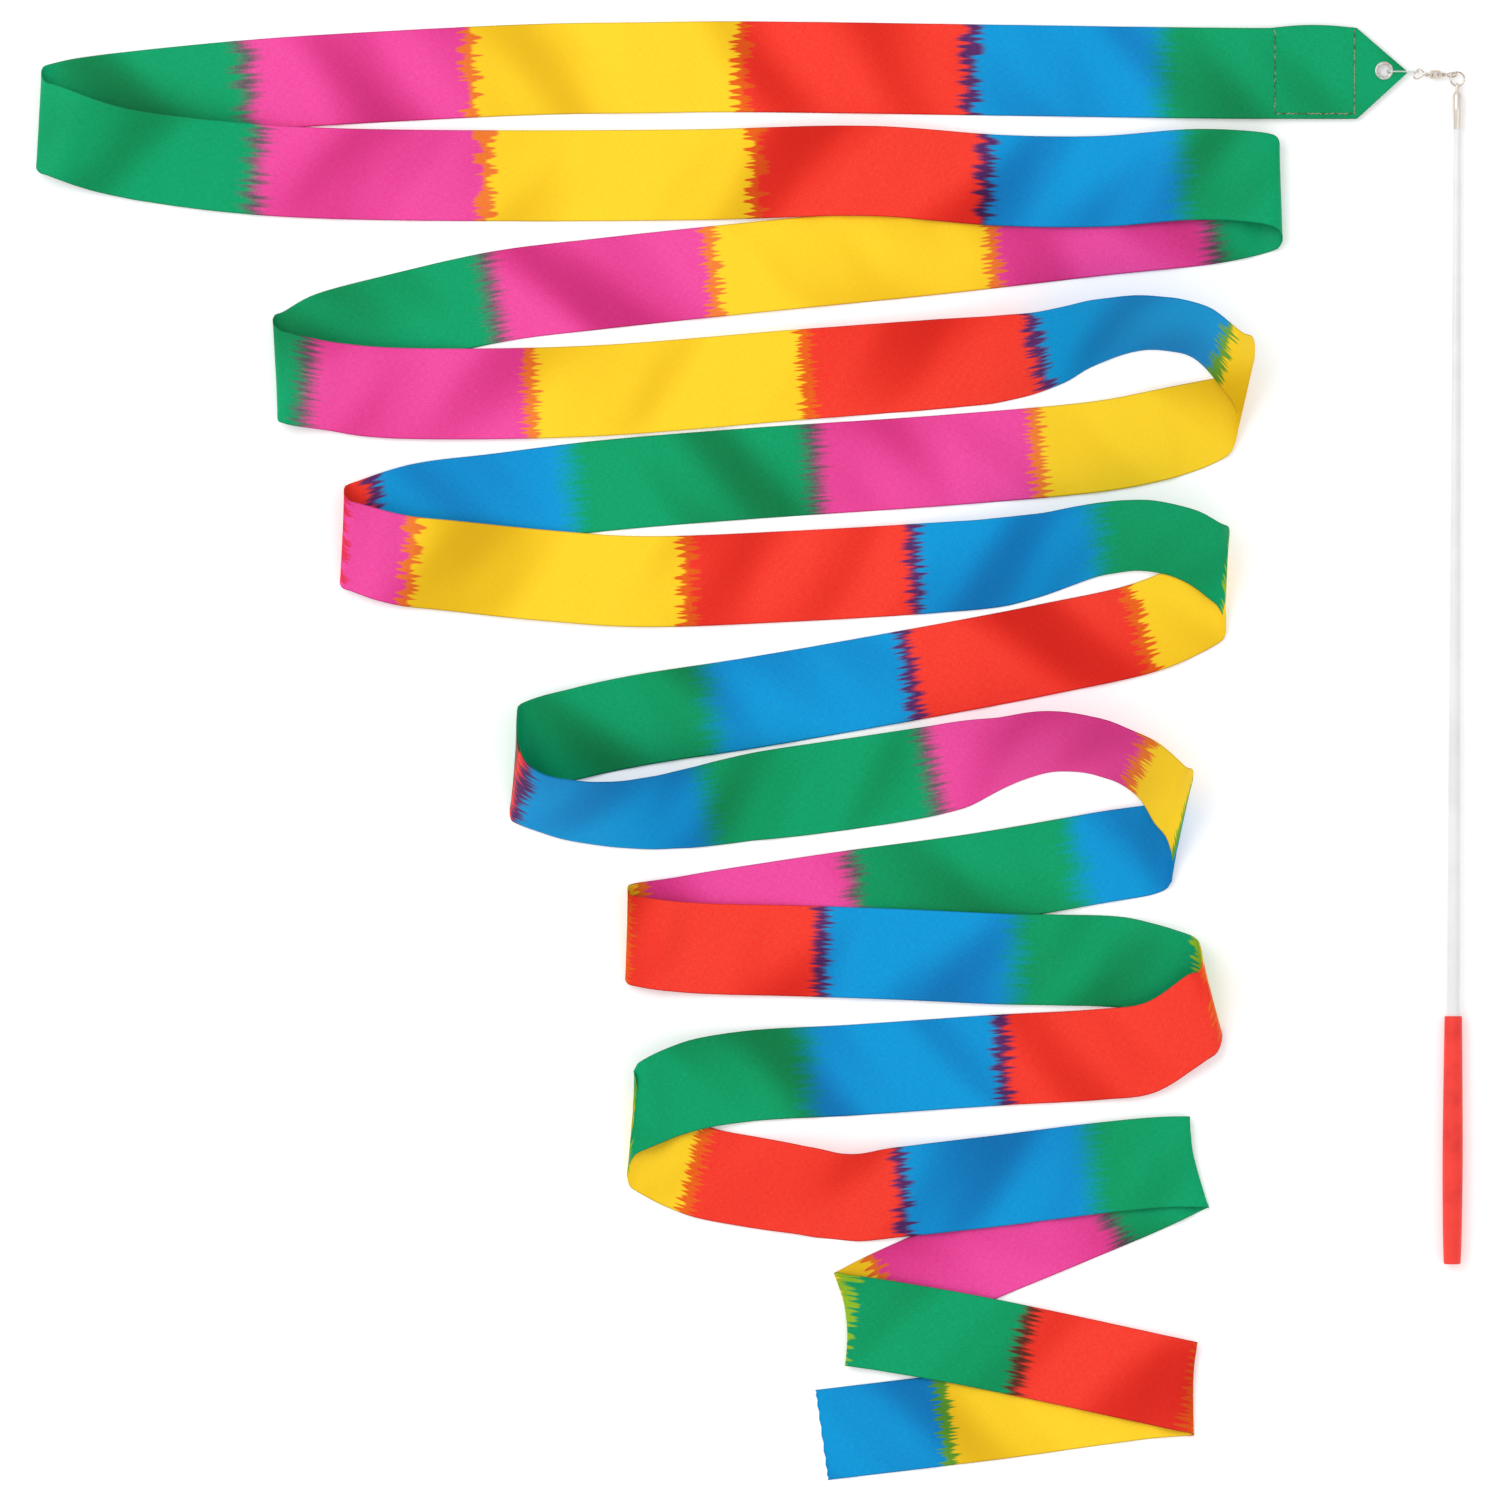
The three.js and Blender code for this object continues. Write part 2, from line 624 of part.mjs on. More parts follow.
function swivelBarrel() {
  const left = BARREL_X - BARREL_LENGTH;
  const corner = BARREL_CORNER;
  const half = BARREL_WIDTH / 2;
  const shape = new THREE.Shape();
  shape.moveTo(left + corner, AXIS_Y - half);
  shape.lineTo(BARREL_X - corner, AXIS_Y - half);
  shape.absarc(BARREL_X - corner, AXIS_Y - half + corner, corner, -Math.PI / 2, 0);
  shape.absarc(BARREL_X - corner, AXIS_Y + half - corner, corner, 0, Math.PI / 2);
  shape.absarc(left + corner, AXIS_Y + half - corner, corner, Math.PI / 2, Math.PI);
  shape.absarc(left + corner, AXIS_Y - half + corner, corner, Math.PI, 1.5 * Math.PI);
  const middle = (left + BARREL_X) / 2;
  const window = new THREE.Path();
  window.moveTo(middle - WINDOW_LENGTH / 2, AXIS_Y - WINDOW_WIDTH / 2);
  window.lineTo(middle - WINDOW_LENGTH / 2, AXIS_Y + WINDOW_WIDTH / 2);
  window.lineTo(middle + WINDOW_LENGTH / 2, AXIS_Y + WINDOW_WIDTH / 2);
  window.lineTo(middle + WINDOW_LENGTH / 2, AXIS_Y - WINDOW_WIDTH / 2);
  window.closePath();
  shape.holes.push(window);
  const body = plate(shape, BARREL_THICK, AXIS_Z - BARREL_THICK / 2);
  return cut(body, cylinderAlongX(STEM_RADIUS + TURN_GAP, left - 1, BARREL_X + 1));
}

function swivelEye() {
  const tilt = THREE.MathUtils.degToRad(EYE_TILT_DEG);
  const ring = new THREE.TorusGeometry(EYE_RADIUS, EYE_WIRE, WIRE_SIDES, ROUND_SIDES)
    .rotateX(tilt)
    .translate(EYE_X, AXIS_Y, AXIS_Z);
  const head = BARREL_X - BARREL_LENGTH / 2 + WINDOW_LENGTH / 2 - TURN_GAP;
  const stem = cylinderAlongX(STEM_RADIUS, head - HEAD_LENGTH / 2, EYE_X - EYE_RADIUS);
  return join(ring, stem, cylinderAlongX(HEAD_RADIUS, head - HEAD_LENGTH, head));
}

function tipRing() {
  const ring = new THREE.TorusGeometry(
    TIP_RING_RADIUS,
    TIP_RING_WIRE,
    WIRE_SIDES,
    1.5 * ROUND_SIDES,
  ).translate(RING_X, RING_Y, AXIS_Z);
  const size = 4 * TIP_RING_WIRE;
  const split = new THREE.BoxGeometry(size, TIP_RING_CUT, size).translate(
    RING_X + TIP_RING_RADIUS,
    RING_Y,
    AXIS_Z,
  );
  return cut(ring, split);
}

// ---- Wand, in its own frame: the lug's hole at the origin, the stick running along -Y --------

function ferrule() {
  const [wide, middle, narrow] = FERRULE_RADII;
  const bore = SPIGOT_RADIUS + FIT_GAP;
  const boreEnd = FERRULE_LENGTH - SPIGOT_DEPTH - FIT_GAP;
  const [first, second] = FERRULE_STEPS;
  const profile = [
    [0, -boreEnd],
    [bore, -boreEnd],
    [bore, -FERRULE_LENGTH],
    [narrow, -FERRULE_LENGTH],
    [narrow, -second - 0.4],
    [middle, -second],
    [middle, -first - 0.3],
    [wide, -first],
    [wide, -SHOULDER_END],
    [LUG_THICK / 2, -SHOULDER_START],
    [0, -SHOULDER_START],
  ];
  const lug = new THREE.Shape();
  lug.moveTo(LUG_HALF_WIDTH, -SHOULDER_END);
  lug.lineTo(LUG_HALF_WIDTH, 0);
  lug.absarc(0, 0, LUG_HALF_WIDTH, 0, Math.PI);
  lug.lineTo(-LUG_HALF_WIDTH, -SHOULDER_END);
  lug.closePath();
  lug.holes.push(roundHole(0, 0, LUG_HOLE));
  const tab = plate(lug, LUG_THICK, -LUG_THICK / 2).rotateY(Math.PI / 2);
  return join(turned(profile), tab);
}

function shaft() {
  const top = -FERRULE_LENGTH - FIT_GAP;
  const gripEnd = -FERRULE_LENGTH - SHAFT_LENGTH;
  const end = gripEnd - GRIP_LENGTH + GRIP_BUTT + FIT_GAP;
  return turned([
    [0, end],
    [SHAFT_GRIP_RADIUS, end],
    [SHAFT_GRIP_RADIUS, gripEnd],
    [SHAFT_TIP_RADIUS, top],
    [SPIGOT_RADIUS, top],
    [SPIGOT_RADIUS, -FERRULE_LENGTH + SPIGOT_DEPTH],
    [0, -FERRULE_LENGTH + SPIGOT_DEPTH],
  ]);
}

// A slightly swollen rubber sleeve, closed at the butt.
function gripSleeve() {
  const top = -FERRULE_LENGTH - SHAFT_LENGTH - FIT_GAP;
  const end = top - GRIP_LENGTH;
  const bore = SHAFT_GRIP_RADIUS + FIT_GAP;
  const swell = GRIP_MAX_RADIUS - GRIP_MOUTH_RADIUS;
  return turned([
    [0, end],
    [GRIP_BUTT_RADIUS - GRIP_EDGE, end],
    [GRIP_BUTT_RADIUS, end + GRIP_EDGE],
    [GRIP_MAX_RADIUS - 0.45, end + 0.07 * GRIP_LENGTH],
    [GRIP_MAX_RADIUS - 0.1, end + 0.25 * GRIP_LENGTH],
    [GRIP_MAX_RADIUS, end + 0.38 * GRIP_LENGTH],
    [GRIP_MAX_RADIUS, end + 0.46 * GRIP_LENGTH],
    [GRIP_MOUTH_RADIUS + 0.7 * swell, end + 0.68 * GRIP_LENGTH],
    [GRIP_MOUTH_RADIUS + 0.25 * swell, end + 0.9 * GRIP_LENGTH],
    [GRIP_MOUTH_RADIUS, top],
    [bore, top],
    [bore, end + GRIP_BUTT],
    [0, end + GRIP_BUTT],
  ]);
}

// ---- Assembly -----------------------------------------------------------------------------

const MATERIALS = {
  satin: { color: 0x12a36b, roughness: 0.45, metalness: 0 },
  thread: { color: 0x7a7a66, roughness: 0.9, metalness: 0 },
  nickel: { color: 0xcfc8bd, roughness: 0.3, metalness: 1 },
  champagne: { color: 0xd6c9b4, roughness: 0.35, metalness: 1 },
  nylon: { color: 0xe8eee8, roughness: 0.2, metalness: 0 },
  enamel: { color: 0xf5f5f3, roughness: 0.3, metalness: 0 },
  rubber: { color: 0xd9332e, roughness: 0.7, metalness: 0 },
};

function piece(name, finish, geometry) {
  const mesh = new THREE.Mesh(geometry, new THREE.MeshStandardMaterial(MATERIALS[finish]));
  mesh.name = name;
  return mesh;
}

const wand = new THREE.Group();
wand.add(
  piece("ferrule", "champagne", ferrule()),
  piece("shaft", "enamel", shaft()),
  piece("grip_sleeve", "rubber", gripSleeve()),
);
const gripMiddle = FERRULE_LENGTH + SHAFT_LENGTH + 0.58 * GRIP_LENGTH;
const pitch = Math.atan((GRIP_MAX_RADIUS + FLOOR_GAP - AXIS_Z) / gripMiddle);
wand.rotation.set(-pitch, 0, -THREE.MathUtils.degToRad(WAND_LEAN_DEG));
wand.position.set(RING_X, LUG_Y, AXIS_Z);

const ribbonWand = new THREE.Group();
ribbonWand.add(
  wand,
  piece("tip_ring", "nickel", tipRing()),
  piece("swivel_eye", "nickel", swivelEye()),
  piece("eye_wrap", "nickel", wrap(EYE_WRAP_X)),
  piece("swivel_barrel", "nickel", swivelBarrel()),
  piece("snap_hook", "nickel", snapHook()),
  piece("snap_wrap", "nickel", wrap(SNAP_WRAP_X)),
  piece("nylon_loop", "nylon", nylonLoop()),
  piece("line_knot", "nylon", lineKnot()),
  piece("eyelet", "nickel", eyelet()),
  piece("eyelet_washer", "nickel", eyeletWasher()),
  piece("ribbon", "satin", ribbonStrip()),
  piece("tab_backing", "satin", tabBacking()),
  piece("seam_left", "thread", seamAcross(TAB_LEFT_X + SEAM_MARGIN)),
  piece("seam_right", "thread", seamAcross(TAB_RIGHT_X - SEAM_MARGIN / 2)),
  piece("seam_bottom", "thread", seamAlong()),
);

export default ribbonWand;
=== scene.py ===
"""A rhythmic gymnastics ribbon on its stick: the looks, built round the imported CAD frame.

Metres, +Z up. The object lies on the floor: +Y runs along the stick to its tip, and the ribbon lies on
the -X side of the stick.
"""

import math

import bpy
import numpy as np
from mathutils import Matrix, Vector, kdtree


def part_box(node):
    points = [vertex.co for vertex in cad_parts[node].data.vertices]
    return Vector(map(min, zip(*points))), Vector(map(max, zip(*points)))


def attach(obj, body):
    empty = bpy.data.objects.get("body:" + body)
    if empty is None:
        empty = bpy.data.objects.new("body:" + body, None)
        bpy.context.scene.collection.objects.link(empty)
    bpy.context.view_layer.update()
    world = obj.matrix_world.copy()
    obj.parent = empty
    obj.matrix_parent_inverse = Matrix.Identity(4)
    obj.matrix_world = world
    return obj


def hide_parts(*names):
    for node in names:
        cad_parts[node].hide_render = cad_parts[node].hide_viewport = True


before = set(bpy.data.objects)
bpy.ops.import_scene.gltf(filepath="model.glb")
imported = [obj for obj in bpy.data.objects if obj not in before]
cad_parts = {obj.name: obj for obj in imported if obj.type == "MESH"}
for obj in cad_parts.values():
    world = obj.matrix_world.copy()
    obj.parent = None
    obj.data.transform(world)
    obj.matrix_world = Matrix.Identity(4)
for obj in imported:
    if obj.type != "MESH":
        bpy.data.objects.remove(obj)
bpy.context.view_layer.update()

# ---- Helpers and camera -------------------------------------------------------------------

VIEW_SIDE = 0.66  # the square of floor that the camera sees
VIEW_CENTRE = (-0.0004, 0.0009)
CAMERA_HEIGHT = 8.0
SENSOR = 36.0
CLIP_END = 100.0


def smooth(mesh):
    """Shades every face of the mesh smooth."""
    mesh.polygons.foreach_set("use_smooth", [True] * len(mesh.polygons))


def new_object(name, data):
    """A new object in the scene."""
    made = bpy.data.objects.new(name, data)
    bpy.context.scene.collection.objects.link(made)
    return made


def make_camera():
    """A long lens straight above, so that upright sides hardly show."""
    data = bpy.data.cameras.new("camera")
    data.sensor_width = SENSOR
    data.lens = SENSOR * CAMERA_HEIGHT / VIEW_SIDE
    data.clip_end = CLIP_END
    camera = new_object("camera", data)
    camera.location = (*VIEW_CENTRE, CAMERA_HEIGHT)
    bpy.context.scene.camera = camera


make_camera()

# ---- Ribbon sizes and route, as in the CAD ------------------------------------------------

RIBBON_WIDTH = 0.04
RIBBON_THICK = 0.00024
TIP_LENGTH = 0.022
TIP_HALF_WIDTH = 0.0005
EYELET_HOLE = 0.0032  # radius of the hole in the cloth

TIP_X = 0.2885
TAB_Y = 0.2985
TAB_RIGHT_X = TIP_X - TIP_LENGTH
TAB_LEFT_X = TIP_X - 0.06
RAISED = 0.0027  # height of the end that the eyelet and the line hold off the floor


def at(x, y, base, tilt=0.0, lean=None):
    """One place on the ribbon's centre line: x and y, the height of its lower edge, the tilt of its width
    out of the floor with the upper edge raised, and the lean of its width, whose lower end moves to +X.
    With no lean given, the width lies square to the route."""
    return (x, y, base, tilt, lean)


def turn(side, x, y, depth, travel, start, end, leans, tilts=(0, 0, 0)):
    """A half turn at the right (side 1) or left (side -1) end of a run. x and y are its outermost place,
    depth is how far in it starts and travel how far it moves to -Y, from height start to height end."""
    places = []
    for degrees in (0, 45, 90, 135, 180):
        angle = math.radians(degrees)
        inward = depth * (1 - math.sin(angle))
        base = (start + end) / 2 - (end - start) / 2 * math.cos(angle)
        tilt, lean = [float(np.interp(degrees, (0, 90, 180), three)) for three in (tilts, leans)]
        places.append(at(x - side * inward, y + travel / 2 * math.cos(angle), base, tilt, lean))
    return places


ROUTE = [
    at(TIP_X, 0.299, RAISED, 0, 0),
    at(TAB_RIGHT_X, TAB_Y, RAISED, 0, 0),
    at(TAB_LEFT_X, TAB_Y, RAISED, 0, 0),
    at(0.219, TAB_Y, RAISED, 0, 0),
    at(0.1755, 0.299, 0.0012),
    at(0.1095, 0.3, 0.0005),
    at(-0.009, 0.3015, 0.0005),
    at(-0.049, 0.301, 0.0014),
    at(-0.0885, 0.3005, 0.0005),
    at(-0.1545, 0.2975, 0.0005),
    at(-0.218, 0.2935, 0.0006),
    at(-0.274, 0.288, 0.0008),
    at(-0.293, 0.2855, 0.001),
    *turn(-1, -0.313, 0.278, 0.006, 0.0095, 0.0012, 0.009, (3, -3.2, -6)),
    at(-0.2865, 0.266, 0.0035, 14, -8),
    at(-0.2645, 0.2615, 0.0017, 14),
    at(-0.2205, 0.2565, 0.0015, 6),
    at(-0.185, 0.2545, 0.0014, 4),
    at(-0.1105, 0.2535, 0.0006, 4),
    at(-0.0225, 0.254, 0.0015, 0),
    at(0.0525, 0.2555, 0.0026, 10),
    at(0.1095, 0.2515, 0.0018),
    at(0.1535, 0.251, 0.0024),
    at(0.1975, 0.254, 0.0045, 4, 0),
    *turn(1, 0.233, 0.246, 0.0055, 0.0115, 0.0085, 0.0012, (-3, 2, 4)),
    at(0.204, 0.235, 0.0008),
    at(0.1535, 0.2295, 0.0005),
    at(0.079, 0.221, 0.0005),
    at(-0.0005, 0.213, 0.0012),
    at(-0.0665, 0.206, 0.0005),
    at(-0.1105, 0.2005, 0.0005),
    at(-0.159, 0.1895, 0.0006),
    at(-0.185, 0.1825, 0.0008),
    *turn(-1, -0.209, 0.169, 0.0055, 0.0095, 0.0012, 0.009, (7, 3.2, -4)),
    at(-0.1895, 0.1615, 0.0035, 14, -4),
    at(-0.1675, 0.1585, 0.0018, 8),
    at(-0.1325, 0.1575, 0.0022),
    at(-0.0665, 0.159, 0.0016),
    at(0.0215, 0.166, 0.001, 6),
    at(0.0875, 0.171, 0.0005, 12),
    at(0.1095, 0.173, 0.0005, 20),
    at(0.1315, 0.1775, 0.0005, 35),
    at(0.1535, 0.185, 0.0008, 48, 6),
    at(0.1755, 0.1885, 0.0012, 55, -4),
    at(0.1975, 0.184, 0.0045, 56, -14),
    *turn(1, 0.2175, 0.1595, 0.0055, 0.023, 0.0075, 0.0006, (-18, -12, -14), (50, 33, 8)),
    at(0.1755, 0.1385, 0.0008, 3, 8),
    at(0.1535, 0.1345, 0.0009, 0.5),
    at(0.0875, 0.1285, 0.0005),
    at(-0.0005, 0.1225, 0.0005),
    at(-0.0665, 0.117, 0.0005),
    at(-0.1105, 0.1115, 0.0005),
    at(-0.1455, 0.107, 0.0009, 1),
    *turn(-1, -0.1795, 0.094, 0.005, 0.008, 0.0006, 0.006, (6, -3.4, -6), (4, 18, 14)),
    at(-0.1545, 0.0845, 0.003, 8, -6),
    at(-0.1325, 0.082, 0.0017, 6),
    at(-0.0885, 0.0775, 0.0019),
    at(-0.049, 0.075, 0.0013),
    at(0.0215, 0.0775, 0.0008),
    at(0.0875, 0.0815, 0.0006, 8),
    at(0.1095, 0.0835, 0.0006, 14),
    at(0.1315, 0.088, 0.0006, 30),
    at(0.1535, 0.0935, 0.0015, 38, 6),
    at(0.1755, 0.095, 0.0025, 40, -4),
    at(0.193, 0.0905, 0.0035, 40, -12),
    *turn(1, 0.209, 0.076, 0.0055, 0.016, 0.005, 0.0006, (-12, -2, 8), (36, 24, 6)),
    at(0.1755, 0.0555, 0.0012, 0),
    at(0.1315, 0.0455, 0.0005),
    at(0.0655, 0.033, 0.0006),
    at(-0.0005, 0.0215, 0.0005),
    at(-0.049, 0.014, 0.0007, 1.5),
    at(-0.075, 0.0085, 0.0008, 6, 8),
    *turn(-1, -0.104, -0.009, 0.0055, 0.022, 0.0006, 0.0015, (8, -6.5, -20), (14, 44, 52)),
    at(-0.084, -0.0245, 0.0012, 50, -12),
    at(-0.0665, -0.027, 0.0012, 46, -4),
    at(-0.0445, -0.027, 0.001, 38),
    at(-0.0225, -0.024, 0.0008, 28),
    at(-0.0005, -0.02, 0.0008, 18),
    at(0.0215, -0.017, 0.0006, 8),
    at(0.057, -0.012, 0.0005, 4),
    at(0.0875, -0.0065, 0.0005, 16),
    at(0.1095, 0, 0.0005, 40),
    at(0.1315, 0.0045, 0.0005, 48, 4),
    at(0.1535, 0.002, 0.0008, 53, -10),
    at(0.1735, -0.007, 0.0045, 53, -24),
    *turn(1, 0.1895, -0.03, 0.0055, 0.022, 0.008, 0.0006, (-28, -13.5, -6), (46, 30, 7)),
    at(0.1535, -0.0465, 0.001, 1),
    at(0.101, -0.0555, 0.0005),
    at(0.039, -0.064, 0.0005),
    at(-0.0135, -0.072, 0.0006),
    at(-0.031, -0.075, 0.0009, 1),
    *turn(-1, -0.0545, -0.0805, 0.0045, 0.0055, 0.0008, 0.005, (6, -2, -3), (4, 16, 8)),
    at(-0.027, -0.086, 0.0028, 4, -2),
    at(0.0215, -0.0875, 0.0017),
    at(0.0655, -0.089, 0.0017),
    at(0.1095, -0.091, 0.0018),
    at(0.136, -0.0915, 0.0018),
    at(0.1625, -0.0925, 0.0006, 0, -2),
    at(0.18, -0.096, 0.0006, 6, 2),
    *turn(1, 0.2025, -0.1085, 0.006, 0.016, 0.0006, 0.006, (6, 16.5, 12), (14, 34, 14)),
    at(0.1755, -0.13, 0.003, 6, 6),
    at(0.1535, -0.133, 0.0018),
    at(0.1095, -0.1355, 0.0009),
    at(0.0435, -0.14, 0.0006),
    at(-0.0005, -0.1425, 0.0012, 4),
    at(-0.027, -0.147, 0.004, 8, 6),
    *turn(-1, -0.0525, -0.1645, 0.0055, 0.0185, 0.006, 0.0006, (4, -5, -10), (14, 14, 6)),
    at(-0.0225, -0.1845, 0.0008, 1, -14),
    at(-0.0005, -0.189, 0.0007, 2),
    at(0.0215, -0.1925, 0.0008, 12),
    at(0.0435, -0.196, 0.0008, 16),
    at(0.0655, -0.1935, 0.0018, 8),
    at(0.1095, -0.1885, 0.0018),
    at(0.1535, -0.183, 0.0022),
    at(0.18, -0.1805, 0.0028),
    *turn(1, 0.1955, -0.181, 0.0015, 0.0015, 0.0036, 0.001, (3, 15.4, 21)),
    at(0.1755, -0.1905, 0.0006, 0, 23),
    at(0.145, -0.2035, 0.0005, 0, 23),
    at(0.092, -0.2255, 0.0005, 0, 22),
    at(0.057, -0.241, 0.0006, 0, 21),
    *turn(-1, 0.042, -0.249, 0.0015, 0.002, 0.001, 0.0036, (20, 6.6, -6)),
    at(0.057, -0.252, 0.003, 0, -8),
    at(0.092, -0.258, 0.0022, 0),
    at(0.1315, -0.266, 0.0018),
    at(0.1755, -0.2755, 0.0024, 0, -11),
    *turn(1, 0.1945, -0.28, 0.0015, 0.0015, 0.0032, 0.001, (-10, -0.6, 5)),
    at(0.1755, -0.282, 0.0006, 0, 7),
    at(0.1095, -0.291, 0.0005, 0, 7),
    at(0.031, -0.3005, 0.0005, 0, 8),
]

# ---- Dyes: each colour, what two of them make together, and the bands ----------------------


def srgb(red, green, blue, alpha=1.0):
    """A colour in 0 to 255 steps as the linear colour that shaders take."""
    shares = [c / 255 for c in (red, green, blue)]
    return (*[c / 12.92 if c <= 0.04045 else ((c + 0.055) / 1.055) ** 2.4 for c in shares], alpha)


DYES = {
    "green": srgb(0, 160, 104),
    "blue": srgb(0, 152, 215),
    "red": srgb(246, 62, 46),
    "yellow": srgb(255, 212, 40),
    "pink": srgb(238, 76, 160),
}
# What two dyes make where both have run; the last number is how softly they fade, 0 to 1.
BLEEDS = {
    ("blue", "green"): srgb(0, 158, 172, 1.0),
    ("blue", "red"): srgb(92, 44, 104, 0.35),
    ("blue", "yellow"): srgb(110, 170, 60, 0.12),
    ("green", "pink"): srgb(104, 92, 100, 0.8),
    ("green", "red"): srgb(104, 52, 38, 0.4),
    ("green", "yellow"): srgb(150, 190, 40, 0.12),
    ("pink", "red"): srgb(226, 50, 80, 0.3),
    ("pink", "yellow"): srgb(242, 128, 52, 0.1),
    ("red", "yellow"): srgb(238, 104, 24, 0.1),
}
# Where the bands end: for each run of the ribbon, from the pointed end on, the bands that end on it and the
# x at which they do. The band after a run's last one goes on round the bend.
LEFT_BEND = -1.0  # further out than any bend, so the edge lies on the bend itself
RIGHT_BEND = 1.0
RUN_BANDS = (
    (("green", 0.18), ("blue", 0.0965), ("red", -0.004), ("yellow", -0.1235), ("pink", -0.222)),
    (("green", -0.2175), ("pink", -0.117), ("yellow", 0.0025), ("red", 0.103), ("blue", 0.189)),
    (("green", 0.202), ("pink", 0.106), ("yellow", -0.017), ("pink", -0.114)),
    (("green", -0.1955), ("pink", -0.097), ("yellow", 0.0245), ("red", 0.126), ("blue", 0.207)),
    (("yellow", 0.126), ("pink", 0.028), ("green", -0.0795), ("blue", -0.164)),
    (("red", LEFT_BEND), ("pink", -0.15), ("yellow", -0.028), ("red", 0.072), ("blue", 0.152)),
    (("green", RIGHT_BEND), ("yellow", 0.171), ("red", 0.07), ("blue", -0.017)),
    (("green", LEFT_BEND), ("red", -0.101), ("blue", -0.02), ("green", 0.079), ("pink", 0.17)),
    (("yellow", RIGHT_BEND), ("blue", 0.1435), ("green", 0.046), ("pink", -0.0465)),
    (("yellow", LEFT_BEND), ("red", 0.031), ("blue", 0.116), ("green", 0.199)),
    (("yellow", RIGHT_BEND), ("red", 0.1105), ("blue", 0.026)),
    (("green", LEFT_BEND), ("yellow", -0.0245), ("red", 0.0665), ("blue", 0.149)),
    (("green", 0.156), ("pink", 0.06)),
    (("yellow", LEFT_BEND), ("green", 0.119)),
    (("red", RIGHT_BEND), ("yellow", 0.0855)),
)
LAST_BAND = "blue"

# ---- Ribbon mesh --------------------------------------------------------------------------

ROW_LENGTH = 0.0025  # longest stretch of cloth between two rows of the mesh
TAB_STRETCHES = 3  # of the route at its start, with finer rows for the eyelet's hole
TAB_FINENESS = 3
FEWEST_ROWS = 3  # on a short stretch
COLUMNS = 17
COLUMN_SPREAD = 0.9  # near 0 the columns are even, near 1 they crowd outwards
FLOOR_CLEARANCE = 0.0002
# Each wave's length along the cloth, its lag across it and its phase.
WAVES = ((0.047, 0.5, 0.0), (0.029, -0.7, 1.3), (0.083, 0.3, 2.1), (0.0173, 1.1, 4.0))
FREE_WAVE = 0.00042  # height of the cloth's soft waves where nothing lies on or under it
CROWDED_WAVE = 0.00012  # and where something does
CALM_LENGTH = 0.05  # the waves are full at twice this far from the held end
CALM_SHARE = 0.15  # of them is left next to it
CROWD_REACH = 0.012  # cloth nearer than this in plan is beside, over or under
CROWD_APART = 0.06  # cloth further along than this counts as another layer
CROWD_ROWS = 3  # every third row and second column is looked at
CROWD_COLUMNS = 2
CROWD_FADE_ROWS = 15
SELVEDGE_SHARE = 0.955  # columns beyond this share of the half width are selvedge
SELVEDGE_SWELL = 0.7
TAB_BULGE = 0.0007
CUT_ZIGZAG = 0.0005


def hermite(u, span, start, end, start_slope, end_slope):
    """The value at share u of a span between two values with their slopes."""
    return (
        (2 * u**3 - 3 * u**2 + 1) * start
        + span * (u**3 - 2 * u**2 + u) * start_slope
        + (3 * u**2 - 2 * u**3) * end
        + span * (u**3 - u**2) * end_slope
    )


def smooth_route():
    """The route as rows of x, y, z, tilt and lean, on one smooth curve through all its places."""
    keys = []
    for i, (x, y, base, tilt, lean) in enumerate(ROUTE):
        if lean is None:
            before, after = ROUTE[i - 1], ROUTE[i + 1]
            lean = math.degrees(math.atan((after[1] - before[1]) / (after[0] - before[0])))
        lift = RIBBON_WIDTH / 2 * abs(math.sin(math.radians(tilt)))
        keys.append((x, y, base + lift, tilt, lean))
    keys = np.array(keys)
    apart = np.linalg.norm(np.diff(keys[:, :3], axis=0), axis=1)
    knots = np.concatenate([[0], np.cumsum(np.sqrt(apart))])
    spans = np.diff(knots)
    slopes = np.diff(keys, axis=0) / spans[:, None]
    tangents = np.empty_like(keys)
    tangents[0], tangents[-1] = slopes[0], slopes[-1]
    before, after = spans[:-1, None], spans[1:, None]
    tangents[1:-1] = (slopes[1:] * before + slopes[:-1] * after) / (before + after)
    rows = []
    for i, span in enumerate(spans):
        fineness = TAB_FINENESS if i < TAB_STRETCHES else 1
        steps = max(FEWEST_ROWS, math.ceil(apart[i] / ROW_LENGTH * fineness))
        for u in np.arange(steps) / steps:
            rows.append(hermite(u, span, keys[i], keys[i + 1], tangents[i], tangents[i + 1]))
    rows.append(keys[-1])
    return np.array(rows)


def row_distances(centres):
    """How far each row is along the route."""
    return np.concatenate([[0], np.cumsum(np.linalg.norm(np.diff(centres, axis=0), axis=1))])


def band_edges():
    """The distances along the ribbon at which one band ends and the next starts."""
    centres = smooth_route()[:, :3]
    x = centres[:, 0]
    travelled = row_distances(centres)
    turns_back = np.where(np.diff(np.sign(np.diff(x))))[0] + 1
    runs = np.split(np.arange(len(x)), turns_back)
    edges = []
    for run, bands in zip(runs, RUN_BANDS, strict=True):
        outward = run[np.argsort(x[run])]
        edges += [float(np.interp(end, x[outward], travelled[outward])) for _, end in bands]
    return np.array(edges)


